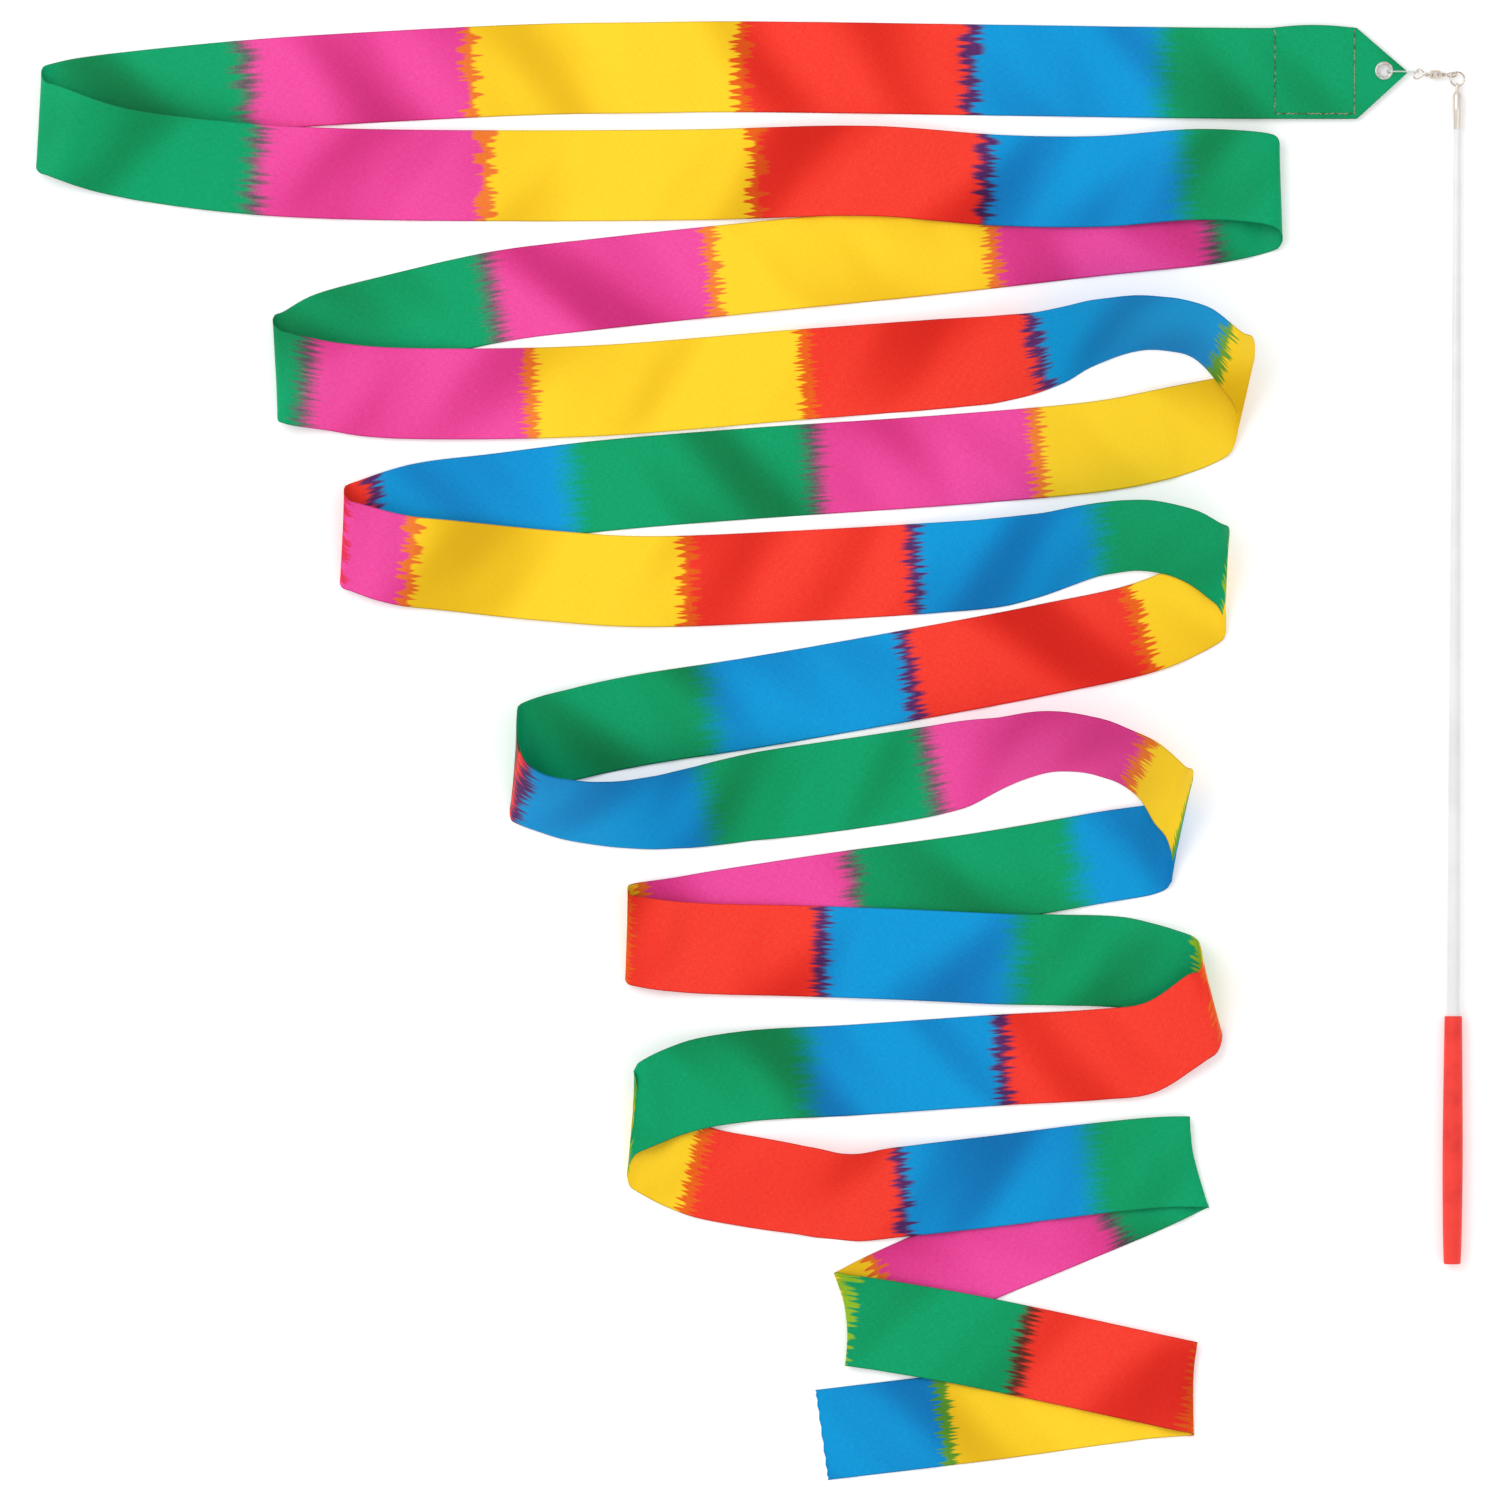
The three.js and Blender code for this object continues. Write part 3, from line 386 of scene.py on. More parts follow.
def crowding(points, travelled):
    """For each row, 1 where another layer of the ribbon is close beside, over or under it, and 0 elsewhere,
    fading over some rows."""
    flat = points.copy()
    flat[..., 2] = 0
    rows, columns = points.shape[:2]
    picked = [(i, k) for i in range(0, rows, CROWD_ROWS) for k in range(0, columns, CROWD_COLUMNS)]
    tree = kdtree.KDTree(len(picked))
    for n, (i, k) in enumerate(picked):
        tree.insert(flat[i, k], n)
    tree.balance()
    crowded = np.zeros(rows)
    for i, k in picked:
        for _, n, _ in tree.find_range(flat[i, k], CROWD_REACH):
            if abs(travelled[picked[n][0]] - travelled[i]) > CROWD_APART:
                crowded[i : i + CROWD_ROWS] = 1
                break
    window = np.hanning(CROWD_FADE_ROWS)
    return np.convolve(crowded, window / window.sum(), "same")


def strip(start=0.0, end=math.inf, inset=0.0, drop=0.0):
    """The cloth between two distances along the route, narrower by inset at each side and lower by drop:
    its middle layer's points, the distance of each row and the place of each column across, from -1 to 1."""
    rows = smooth_route()
    centres = rows[:, :3]
    travelled = row_distances(centres)
    keep = (travelled >= start) & (travelled <= end)
    rows, centres, travelled = rows[keep], centres[keep], travelled[keep]
    tilt, lean = np.radians(rows[:, 3]), np.radians(rows[:, 4])
    across = np.stack(
        [np.sin(lean) * np.cos(tilt), -np.cos(lean) * np.cos(tilt), -np.sin(tilt)], axis=1
    )
    share = np.minimum(1, (travelled - start) / TIP_LENGTH)
    half = TIP_HALF_WIDTH + (RIBBON_WIDTH / 2 - TIP_HALF_WIDTH) * share - inset
    half = np.maximum(half, TIP_HALF_WIDTH / 2)
    places = np.sin(np.linspace(-1, 1, COLUMNS) * math.pi / 2 * COLUMN_SPREAD)
    places = places / math.sin(math.pi / 2 * COLUMN_SPREAD)
    points = centres[:, None] + places[None, :, None] * half[:, None, None] * across[:, None]
    points[..., 2] -= drop
    in_tab = np.clip((travelled - TIP_LENGTH) / (TAB_RIGHT_X - TAB_LEFT_X), 0, 1)
    swell = TAB_BULGE * np.sin(math.pi * in_tab)
    points[..., 1] += swell[:, None] * (1 - places)
    return points, travelled, places


def surface_normals(points):
    """The cloth's upward direction at each of its points."""
    along = np.gradient(points, axis=0)
    across = np.gradient(points, axis=1)
    normals = np.cross(along, across)
    return normals / np.linalg.norm(normals, axis=2, keepdims=True)


def add_waves(points, travelled, places):
    """Soft waves, lower where layers crowd and on steep cloth, and never under the floor."""
    crowded = crowding(points, travelled)
    height = FREE_WAVE + (CROWDED_WAVE - FREE_WAVE) * crowded
    height *= np.clip((travelled - CALM_LENGTH) / CALM_LENGTH, CALM_SHARE, 1)
    wave = sum(
        np.sin(2 * math.pi * travelled[:, None] / length + lag * places[None] + phase)
        for length, lag, phase in WAVES
    )
    normals = surface_normals(points)
    flatness = normals[..., 2] ** 2
    points = points + normals * (flatness * height[:, None] * wave)[..., None]
    points[..., 2] = np.maximum(points[..., 2], FLOOR_CLEARANCE)
    return points


def cloth_mesh(name, points, travelled, places, hole_at):
    """A closed thin skin on both sides of the points, with a round hole, a swollen selvedge and a UV map in
    metres."""
    rows, columns = points.shape[:2]
    outward = points[..., :2] - np.array(hole_at[:2])
    away = np.linalg.norm(outward, axis=2)
    in_hole = away < EYELET_HOLE
    points = points.copy()
    points[..., :2][in_hole] += (outward * (EYELET_HOLE / away - 1)[..., None])[in_hole]
    swollen = 1 + SELVEDGE_SWELL * (np.abs(places) > SELVEDGE_SHARE)
    offset = surface_normals(points) * (RIBBON_THICK / 2 * swollen)[None, :, None]
    skin = np.concatenate([points + offset, (points - offset)[:, ::-1]], axis=1)
    around = 2 * columns
    index = np.arange(rows * around).reshape(rows, around)
    after = np.roll(index, -1, axis=1)
    quads = np.stack([index[:-1], after[:-1], after[1:], index[1:]], axis=-1).reshape(-1, 4)
    ends = [
        (index[row, k], index[row, k + 1], index[row, around - 2 - k], index[row, around - 1 - k])
        for row in (0, rows - 1)
        for k in range(columns - 1)
    ]
    flipped = [face[::-1] for face in ends[: columns - 1]]
    quads = np.concatenate([quads, flipped, ends[columns - 1 :]])
    positions = skin.reshape(-1, 3)
    lost = np.concatenate([in_hole, in_hole[:, ::-1]], axis=1).ravel()
    quads = quads[~lost[quads].all(axis=1)]
    mesh = bpy.data.meshes.new(name)
    mesh.from_pydata(positions.tolist(), [], quads.tolist())
    column = np.concatenate([places, places[::-1]]) * RIBBON_WIDTH / 2
    spot = np.stack(np.broadcast_arrays(column[None, :], travelled[:, None]), axis=-1).reshape(-1, 2)
    corners = np.array([loop.vertex_index for loop in mesh.loops])
    mesh.uv_layers.new(name="cloth").data.foreach_set("uv", spot[corners].astype(np.float32).ravel())
    smooth(mesh)
    return mesh, spot[corners]


def paint_bands(mesh, spots):
    """Each face's nearest band edge: the dyes before and after it, what they make together, and how far
    each corner is past it."""
    edges = band_edges()
    names = [name for bands in RUN_BANDS for name, _ in bands] + [LAST_BAND]
    sizes = np.array([polygon.loop_total for polygon in mesh.polygons])
    face = np.repeat(np.arange(len(sizes)), sizes)
    middle = np.bincount(face, spots[:, 1]) / sizes
    nearest = np.abs(middle[:, None] - edges[None]).argmin(axis=1)[face]
    before = np.array([DYES[name] for name in names])[nearest]
    after = np.array([DYES[name] for name in names[1:]])[nearest]
    mixed = [BLEEDS[tuple(sorted(pair))] for pair in zip(names, names[1:])]
    together = np.array(mixed)[nearest]
    for layer, colours in (("dye_before", before), ("dye_after", after), ("dye_together", together)):
        attribute = mesh.color_attributes.new(layer, "FLOAT_COLOR", "CORNER")
        attribute.data.foreach_set("color", colours.astype(np.float32).ravel())
    past = (spots[:, 1] - edges[nearest]).astype(np.float32)
    mesh.attributes.new("dye_past", "FLOAT", "CORNER").data.foreach_set("value", past)


# ---- Material helpers ---------------------------------------------------------------------


def material(name, **values):
    """A new material with its shader's own sockets set: base_color sets "Base Color" and so on."""
    made = bpy.data.materials.new(name)
    made.use_nodes = True
    tree = made.node_tree
    shader = tree.nodes["Principled BSDF"]
    for socket, value in values.items():
        words = socket.replace("_", " ").title().replace("Ior", "IOR")
        shader.inputs[words].default_value = value
    return made, tree, shader


def node(tree, kind, sockets=(), **settings):
    """A new node with its settings, and with each (socket, source or value) pair put in."""
    made = tree.nodes.new("ShaderNode" + kind)
    for name, value in settings.items():
        setattr(made, name, value)
    for socket, value in sockets:
        if isinstance(value, bpy.types.NodeSocket):
            tree.links.new(value, made.inputs[socket])
        else:
            made.inputs[socket].default_value = value
    return made


def calc(tree, operation, *terms):
    """The result of a Math node."""
    return node(tree, "Math", list(enumerate(terms)), operation=operation).outputs[0]


def ease(tree, value, low, high, start=0.0, end=1.0):
    """value from low to high becomes start to end, softly."""
    sockets = [("Value", value), ("From Min", low), ("From Max", high), ("To Min", start), ("To Max", end)]
    return node(tree, "MapRange", sockets, interpolation_type="SMOOTHSTEP").outputs["Result"]


def place(tree, x=0.0, y=0.0, z=0.0):
    return node(tree, "CombineXYZ", [("X", x), ("Y", y), ("Z", z)]).outputs[0]


def object_place(tree):
    """The place on the piece, in its own metres."""
    return node(tree, "TexCoord").outputs["Object"]


def noise(tree, where, scale=1.0, detail=2.0):
    """Soft noise from 0 to 1."""
    sockets = [("Vector", where), ("Scale", scale), ("Detail", detail)]
    return node(tree, "TexNoise", sockets).outputs["Fac"]


def blend_colours(tree, share, low, high):
    """low where share is 0, high where it is 1."""
    return node(tree, "Mix", [(0, share), (6, low), (7, high)], data_type="RGBA").outputs[2]


def paint(tree, shader, colour):
    tree.links.new(colour, shader.inputs["Base Color"])


def bump(tree, shader, height, distance, strength=1.0):
    """Gives the shader a relief; where height is 1 it is distance high."""
    made = node(tree, "Bump", [("Height", height), ("Distance", distance), ("Strength", strength)])
    tree.links.new(made.outputs["Normal"], shader.inputs["Normal"])


# ---- Fabrics ------------------------------------------------------------------------------

STREAK_PITCH = 0.0015
STREAK_SHORTEST = 0.0006
STREAK_REACH = 0.0058
STREAK_VARIETY = 91.0  # how unlike the streaks of two band edges are
ON_LAYER = 0.0  # the noise's layers for the dye that runs on and the one that runs back
BACK_LAYER = 7.0
CRISP = 0.0005  # how far a dye takes to fade at a streak's tip, at least
BLURRED = 0.006  # and at most
# painted shade: soft noise patches darken the satin where its sheen would drop
SHADE_PATCH_LENGTH = 0.06  # from one patch of painted shade on the satin to the next
SHADE_PATCH_SLANT = 0.7
SHADE_PATCH_DEPTH = 0.3
PALEST = 0.72  # gamma of the palest cloth
WEAVE_DEPTH = 0.3
WEAVE_HEIGHT = 0.00005
WEFT = 0.00045  # a thread's width
FLOAT_LENGTH = 0.0024  # a thread's visible length
SELVEDGE_WIDTH = 0.0005
SELVEDGE_SHADE = 0.3
BLACK = (0.0, 0.0, 0.0, 1.0)
SELVEDGE_SHADOW = (0.01, 0.012, 0.02, 1.0)
# painted shade: the tab's lower layer has its green darkened towards this colour
BACKING_SHADOW = (0.0, 0.02, 0.01, 1.0)
BACKING_SHADE = 0.35


def cloth_place(tree):
    """How far across and how far along the cloth, in metres."""
    uv = node(tree, "UVMap", uv_map="cloth").outputs["UV"]
    parts = node(tree, "SeparateXYZ", [("Vector", uv)])
    return parts.outputs["X"], parts.outputs["Y"]


def streaks(tree, across, seed, layer):
    """How far a dye runs past its edge, in thin streaks along the cloth."""
    where = place(tree, calc(tree, "DIVIDE", across, STREAK_PITCH), seed, layer)
    return ease(tree, noise(tree, where, detail=1.0), 0.36, 0.68, STREAK_SHORTEST, STREAK_REACH)


def weave_height(tree, across, along):
    """The satin's threads, those along the cloth and those across it."""
    warp = place(tree, calc(tree, "DIVIDE", across, WEFT), calc(tree, "DIVIDE", along, FLOAT_LENGTH))
    weft = place(tree, calc(tree, "DIVIDE", across, FLOAT_LENGTH), calc(tree, "DIVIDE", along, WEFT))
    return calc(tree, "ADD", noise(tree, warp, detail=1.0), noise(tree, weft, detail=1.0))


def finish_satin(tree, shader, colour, across, along):
    """Painted shade in patches, a darker selvedge and the weave, on top of the dyed colour."""
    slanted = calc(tree, "MULTIPLY_ADD", across, SHADE_PATCH_SLANT, along)
    patches = place(
        tree,
        calc(tree, "DIVIDE", across, 2 * SHADE_PATCH_LENGTH),
        calc(tree, "DIVIDE", slanted, SHADE_PATCH_LENGTH),
    )
    # painted shade: patches that stand in for the satin's uneven sheen
    painted_shade = ease(tree, noise(tree, patches, detail=1.0), low=0.42, high=0.75)
    grain = weave_height(tree, across, along)
    woven = calc(tree, "MULTIPLY_ADD", grain, WEAVE_DEPTH, PALEST)
    shaded_gamma = calc(tree, "MULTIPLY_ADD", painted_shade, SHADE_PATCH_DEPTH, woven)
    colour = node(tree, "Gamma", [("Color", colour), ("Gamma", shaded_gamma)]).outputs[0]
    # painted shade: the same patches also pull the colour towards black
    colour = blend_colours(tree, calc(tree, "MULTIPLY", painted_shade, SHADE_PATCH_DEPTH), colour, BLACK)
    from_middle = calc(tree, "ABSOLUTE", across)
    edge = RIBBON_WIDTH / 2
    rim = ease(
        tree, from_middle, edge - SELVEDGE_WIDTH, edge - SELVEDGE_WIDTH / 3, end=SELVEDGE_SHADE
    )
    paint(tree, shader, blend_colours(tree, rim, colour, SELVEDGE_SHADOW))
    bump(tree, shader, grain, WEAVE_HEIGHT, strength=0.6)


def satin_material():
    """The dyed satin, whose colours run into each other in streaks at each band edge."""
    made, tree, shader = material(
        "dyed_satin", roughness=0.55, specular_ior_level=0.12, sheen_weight=0.02, sheen_roughness=0.4
    )
    across, along = cloth_place(tree)
    past = node(tree, "Attribute", attribute_name="dye_past").outputs["Fac"]
    seed = calc(tree, "MULTIPLY", calc(tree, "SUBTRACT", along, past), STREAK_VARIETY)
    reach_on = calc(tree, "SUBTRACT", streaks(tree, across, seed, ON_LAYER), past)
    reach_back = calc(tree, "ADD", streaks(tree, across, seed, BACK_LAYER), past)
    before, after, together = [
        node(tree, "Attribute", attribute_name=name).outputs["Color"]
        for name in ("dye_before", "dye_after", "dye_together")
    ]
    softness = node(tree, "Attribute", attribute_name="dye_together").outputs["Alpha"]
    fade = calc(tree, "MULTIPLY_ADD", softness, BLURRED - CRISP, CRISP)
    back = calc(tree, "MULTIPLY", fade, -1.0)
    has_before = ease(tree, reach_on, back, fade)
    has_after = ease(tree, reach_back, back, fade)
    colour = blend_colours(tree, has_after, before, together)
    colour = blend_colours(tree, has_before, after, colour)
    finish_satin(tree, shader, colour, across, along)
    return made


def backing_material():
    """The same satin, its green darkened with painted shade, with no bands."""
    made, tree, shader = material("green_satin", roughness=0.6, specular_ior_level=0.15, sheen_weight=0.03)
    across, along = cloth_place(tree)
    # painted shade darkens the lower layer's green
    colour = blend_colours(tree, BACKING_SHADE, DYES["green"], BACKING_SHADOW)
    finish_satin(tree, shader, colour, across, along)
    return made


def thread_material():
    """Sewing thread in patches of dark green and pinkish grey."""
    made, tree, shader = material("thread", roughness=0.8, sheen_weight=0.3)
    where = object_place(tree)
    tone = ease(tree, noise(tree, where, scale=420.0, detail=1.0), low=0.42, high=0.6)
    colour = blend_colours(tree, tone, srgb(50, 66, 44), srgb(176, 150, 128))
    paint(tree, shader, colour)
    bump(tree, shader, noise(tree, where, scale=6000.0), distance=0.00005)
    return made


# ---- Metals, enamel, rubber and nylon -----------------------------------------------------

WORN_ROUGHNESS = 0.18  # added to the metal's own roughness in its worn patches
FINE_SCRATCHES = 900.0


def metal_material(name, colour, worn, roughness, scratch, patches=900.0):
    """Plated metal with duller patches and fine scratches. Where scratch is small, the
    scratches are long along Y."""
    made, tree, shader = material(name, metallic=1.0)
    where = object_place(tree)
    patch = ease(tree, noise(tree, where, patches, detail=3.0), low=0.35, high=0.7)
    paint(tree, shader, blend_colours(tree, patch, colour, worn))
    rough = calc(tree, "ADD", calc(tree, "MULTIPLY", patch, WORN_ROUGHNESS), roughness)
    tree.links.new(rough, shader.inputs["Roughness"])
    stretch = (FINE_SCRATCHES, scratch, FINE_SCRATCHES)
    lines = node(tree, "Mapping", [("Vector", where), ("Scale", stretch)]).outputs[0]
    bump(tree, shader, noise(tree, lines, scale=6.0, detail=3.0), distance=0.00001, strength=0.5)
    return made


def enamel_material():
    """White lacquer with a faint ripple."""
    made, tree, shader = material(
        "white_enamel", roughness=0.28, specular_ior_level=0.5, coat_weight=0.4, coat_roughness=0.12
    )
    where = object_place(tree)
    tone = ease(tree, noise(tree, where, scale=60.0, detail=4.0), low=0.3, high=0.75)
    paint(tree, shader, blend_colours(tree, tone, srgb(236, 236, 236), srgb(226, 227, 228)))
    along_stick = (400.0, 60.0, 400.0)
    ripple = node(tree, "Mapping", [("Vector", where), ("Scale", along_stick)]).outputs[0]
    bump(tree, shader, noise(tree, ripple), distance=0.00002, strength=0.4)
    return made


def rubber_material():
    """Red rubber with a fine moulded grain, darker where hands rub it."""
    made, tree, shader = material("red_rubber", roughness=0.55, specular_ior_level=0.4)
    where = object_place(tree)
    rubbed = ease(tree, noise(tree, where, scale=90.0, detail=4.0), low=0.35, high=0.75)
    colour = blend_colours(tree, rubbed, srgb(246, 58, 46), srgb(228, 44, 36))
    paint(tree, shader, colour)
    fine = noise(tree, where, scale=2600.0, detail=3.0)
    coarse = noise(tree, where, scale=700.0)
    bump(tree, shader, calc(tree, "ADD", fine, coarse), distance=0.00006, strength=0.5)
    return made


def nylon_material():
    """Clear line, slightly uneven."""
    made, tree, shader = material(
        "clear_nylon", base_color=srgb(240, 244, 242), roughness=0.18, ior=1.53, transmission_weight=0.55
    )
    where = object_place(tree)
    bump(tree, shader, noise(tree, where, scale=900.0), distance=0.00003, strength=0.4)
    return made


MATERIALS = {
    "dyed_satin": satin_material(),
    "green_satin": backing_material(),
    "thread": thread_material(),
    "nickel_wire": metal_material("nickel_wire", srgb(228, 220, 210), srgb(178, 158, 142), 0.2, 900.0),
    "nickel_barrel": metal_material("nickel_barrel", srgb(232, 224, 208), srgb(200, 184, 160), 0.24, 120.0),
    "champagne_aluminium": metal_material(
        "champagne_aluminium", srgb(232, 224, 213), srgb(222, 210, 198), 0.3, 40.0, 120.0
    ),
    "eyelet_nickel": metal_material("eyelet_nickel", srgb(228, 226, 220), srgb(186, 180, 172), 0.24, 900.0),
    "white_enamel": enamel_material(),
    "red_rubber": rubber_material(),
    "clear_nylon": nylon_material(),
}


def put(data, name, slot, body, *nodes):
    """A new piece from this mesh or curve, riding on body in place of the CAD nodes."""
    made = new_object(name, data)
    data.materials.append(MATERIALS[slot])
    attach(made, body)
    if nodes:
        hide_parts(*nodes)
    return made


# ---- Ribbon, its lower layer at the pointed end, and the seams ------------------------------

BACKING_START = 0.0015  # along the ribbon from its pointed end
BACKING_END = 0.06
BACKING_DROP = 0.0007
BACKING_INSET = 0.0004
THREAD_RADIUS = 0.00019
STITCH_SHARE = 0.8  # of the pitch; the rest is the gap to the next stitch
SEAM_Z = RAISED + 0.0002
SEAM_EXTRA = 0.0013  # further than the seam of the CAD model


def middle_of(name):
    """The middle of a CAD node's box."""
    low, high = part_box(name)
    return (low + high) / 2


def cut_end(points, places):
    """A raw end, cut with a slight zigzag."""
    tooth = np.where(np.arange(len(places)) % 2, CUT_ZIGZAG, 0)
    points[-1, :, 0] += tooth
    return points


def make_ribbon():
    """The whole ribbon, on its route over the floor."""
    points, travelled, places = strip()
    points = cut_end(add_waves(points, travelled, places), places)
    mesh, spots = cloth_mesh("ribbon_cloth", points, travelled, places, middle_of("eyelet"))
    paint_bands(mesh, spots)
    ribbon = put(mesh, "ribbon_cloth", "dyed_satin", "ribbon_end", "ribbon")


def make_backing():
    """The second layer of cloth under the tab."""
    points, travelled, places = strip(BACKING_START, BACKING_END, BACKING_INSET, BACKING_DROP)
    mesh, _ = cloth_mesh("tab_lower_layer", points, travelled, places, middle_of("eyelet"))
    backing = put(mesh, "tab_lower_layer", "green_satin", "ribbon_end", "tab_backing")


def curve_of(name, lines, radius, closed=False):
    """Round wire or thread along each line of points."""
    data = bpy.data.curves.new(name, "CURVE")
    data.dimensions = "3D"
    data.bevel_depth = radius
    data.bevel_resolution = 4
    data.use_fill_caps = not closed
    for line in lines:
        spline = data.splines.new("POLY")
        spline.points.add(len(line) - 1)
        for point, where in zip(spline.points, line):
            point.co = (*where, 1.0)
        spline.use_cyclic_u = closed
        spline.use_smooth = True
    return data


def seam(name, start, end, pitch, lean, node_name):
    """A row of slanting stitches, each a short arch of thread."""
    start, end = Vector(start), Vector(end)
    along = (end - start).normalized()
    aside = Vector((-along.y, along.x, 0)) * lean
    count = round((end - start).length / pitch)
    lines = []
    for i in range(count):
        first = start + along * pitch * i - aside
        last = start + along * pitch * (i + STITCH_SHARE) + aside
        top = (first + last) / 2 + Vector((0, 0, THREAD_RADIUS))
        lines.append([first, (first + top) / 2, top, (top + last) / 2, last])
    put(curve_of(name, lines, THREAD_RADIUS), name, "thread", "ribbon_end", node_name)


def make_seams():
    """The seams across the tab at its left and its right, and the one along its lower edge."""
    low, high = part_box("seam_left")
    x = (low.x + high.x) / 2
    bottom, top = (x, low.y, SEAM_Z), (x, high.y + SEAM_EXTRA, SEAM_Z)
    seam("stitches_left", bottom, top, pitch=0.0022, lean=0.00035, node_name="seam_left")
    low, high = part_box("seam_right")
    x = (low.x + high.x) / 2
    bottom, top = (x, low.y, SEAM_Z), (x, high.y + SEAM_EXTRA, SEAM_Z)
    seam("stitches_right", top, bottom, pitch=0.0018, lean=0.0002, node_name="seam_right")
    low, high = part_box("seam_bottom")
    y = (low.y + high.y) / 2
    left, right = (low.x, y, SEAM_Z), (high.x + SEAM_EXTRA, y, SEAM_Z)
    seam("stitches_bottom", left, right, pitch=0.0021, lean=0.00025, node_name="seam_bottom")


make_ribbon()
make_backing()
make_seams()

# ---- Turned pieces ------------------------------------------------------------------------

TURNED_SIDES = 72
NEAR_AXIS = 0.00001  # radius of the tiny hole at the middle of a closed end
SAME_PLACE = 0.00002  # points nearer than this along the axis are in one ring
PLACE_DIGITS = 5


def lathe(name, profile, origin, axis):
    """A round skin about an axis, through (distance, radius) pairs."""
    axis = Vector(axis).normalized()
    side = axis.orthogonal().normalized()
    other = axis.cross(side)
    angles = np.arange(TURNED_SIDES) * 2 * math.pi / TURNED_SIDES
    ring = np.outer(np.cos(angles), side) + np.outer(np.sin(angles), other)
    points = [Vector(origin) + axis * t + Vector(p) * r for t, r in profile for p in ring]
    faces = []
    for i in range(len(profile) - 1):
        for k in range(TURNED_SIDES):
            after = (k + 1) % TURNED_SIDES
            a, b = i * TURNED_SIDES, (i + 1) * TURNED_SIDES
            faces.append((a + k, a + after, b + after, b + k))
    mesh = bpy.data.meshes.new(name)
    mesh.from_pydata([tuple(p) for p in points], [], faces)
    smooth(mesh)
    mesh.validate()
    return mesh


def turned_shape(name):
    """A turned CAD node's axis, and its outer radius at each distance along it."""
    points = np.array([v.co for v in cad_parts[name].data.vertices])
    centre = points.mean(axis=0)
    axis = np.linalg.svd(points - centre, full_matrices=False)[2][0]
    axis *= np.sign(axis[1])
    along = (points - centre) @ axis
    radius = np.linalg.norm(points - centre - np.outer(along, axis), axis=1)
    steps = np.unique(np.round(along, PLACE_DIGITS))
    outer = [float(radius[np.abs(along - t) < SAME_PLACE].max()) for t in steps]
    return centre, axis, [float(t) for t in steps], outer


def widest_radius(name):
    """A turned CAD node's largest radius."""
    return max(turned_shape(name)[3])


def rounded(distances, radii, count):
    """More places on a smooth line through the (distance, radius) pairs."""
    fine = np.linspace(distances[0], distances[-1], count)
    knots = np.array(distances)
    slopes = np.gradient(np.array(radii), knots)
    found = []
    for t in fine:
        i = min(max(int(np.searchsorted(knots, t)) - 1, 0), len(knots) - 2)
        span = knots[i + 1] - knots[i]
        u = (t - knots[i]) / span
        found.append(hermite(u, span, radii[i], radii[i + 1], slopes[i], slopes[i + 1]))
    return list(zip(fine.tolist(), found))


GRIP_EDGE = 0.0008
GRIP_LEAST_RADIUS = 0.0036  # the grip's outside is nowhere thinner, and its bore is
GRIP_ROWS = 90
GRIP_BORE_SHOWN = 0.004
GRIP_GAP = 0.0001  # between the bore and the shaft
LIP_HEIGHT = 0.0001
LIP_WIDTH = 0.0004


def make_grip():
    """The rubber sleeve, with a rounded rim at its mouth and at its butt."""
    centre, axis, distances, radii = turned_shape("grip_sleeve")
    butt = distances[0]
    mouth = distances[-1]
    pairs = zip(distances, radii)
    side = [(t, r) for t, r in pairs if t > butt + GRIP_EDGE / 2 and r > GRIP_LEAST_RADIUS]
    body = rounded([t for t, _ in side], [r for _, r in side], GRIP_ROWS)
    rim = [
        (butt + GRIP_EDGE * (1 - math.sin(a)), body[0][1] - GRIP_EDGE * (1 - math.cos(a)))
        for a in np.linspace(math.pi / 2, 0, 8)
    ]
    bore = widest_radius("shaft") + GRIP_GAP
    lip = [(mouth + LIP_HEIGHT, body[-1][1] - LIP_WIDTH), (mouth, bore), (mouth - GRIP_BORE_SHOWN, bore)]
    profile = [(butt, NEAR_AXIS), (butt, body[0][1] - 2 * GRIP_EDGE)] + rim + body[1:] + lip
    mesh = lathe("grip_rubber", profile, centre, axis)
    put(mesh, "grip_rubber", "red_rubber", "wand", "grip_sleeve")


def make_shaft():
    """The tapering rod, closed at both ends."""
    centre, axis, distances, radii = turned_shape("shaft")
    pairs = list(zip(distances, radii))
    profile = [(pairs[0][0], NEAR_AXIS)] + pairs + [(pairs[-1][0], NEAR_AXIS)]
    put(lathe("shaft_rod", profile, centre, axis), "shaft_rod", "white_enamel", "wand", "shaft")


make_grip()
make_shaft()

# ---- Ferrule and barrel: the CAD shapes with softened edges ---------------------------------

WELD_DISTANCE = 0.000005
FLAT_ANGLE = math.radians(4)  # facets that meet at less than this become one face
EDGE_ANGLE = math.radians(32)  # edges sharper than this are rounded


def softened(node_name, name, slot, body, width):
    """A copy of a CAD node's shape with its edges rounded off."""
    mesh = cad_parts[node_name].data.copy()
    mesh.materials.clear()
    made = put(mesh, name, slot, body, node_name)
    weld = made.modifiers.new("weld", "WELD")
    weld.merge_threshold = WELD_DISTANCE
    flat = made.modifiers.new("flat", "DECIMATE")
    flat.decimate_type = "DISSOLVE"
    flat.angle_limit = FLAT_ANGLE
    edges = made.modifiers.new("edges", "BEVEL")
    edges.width = width
    edges.segments = 3
    edges.limit_method = "ANGLE"
    edges.angle_limit = EDGE_ANGLE
    edges.harden_normals = True
    smooth(mesh)


softened("ferrule", "ferrule_turned", "champagne_aluminium", "wand", width=0.00015)
softened("swivel_barrel", "barrel_cast", "nickel_barrel", "barrel", width=0.00035)

# ---- Wire pieces --------------------------------------------------------------------------

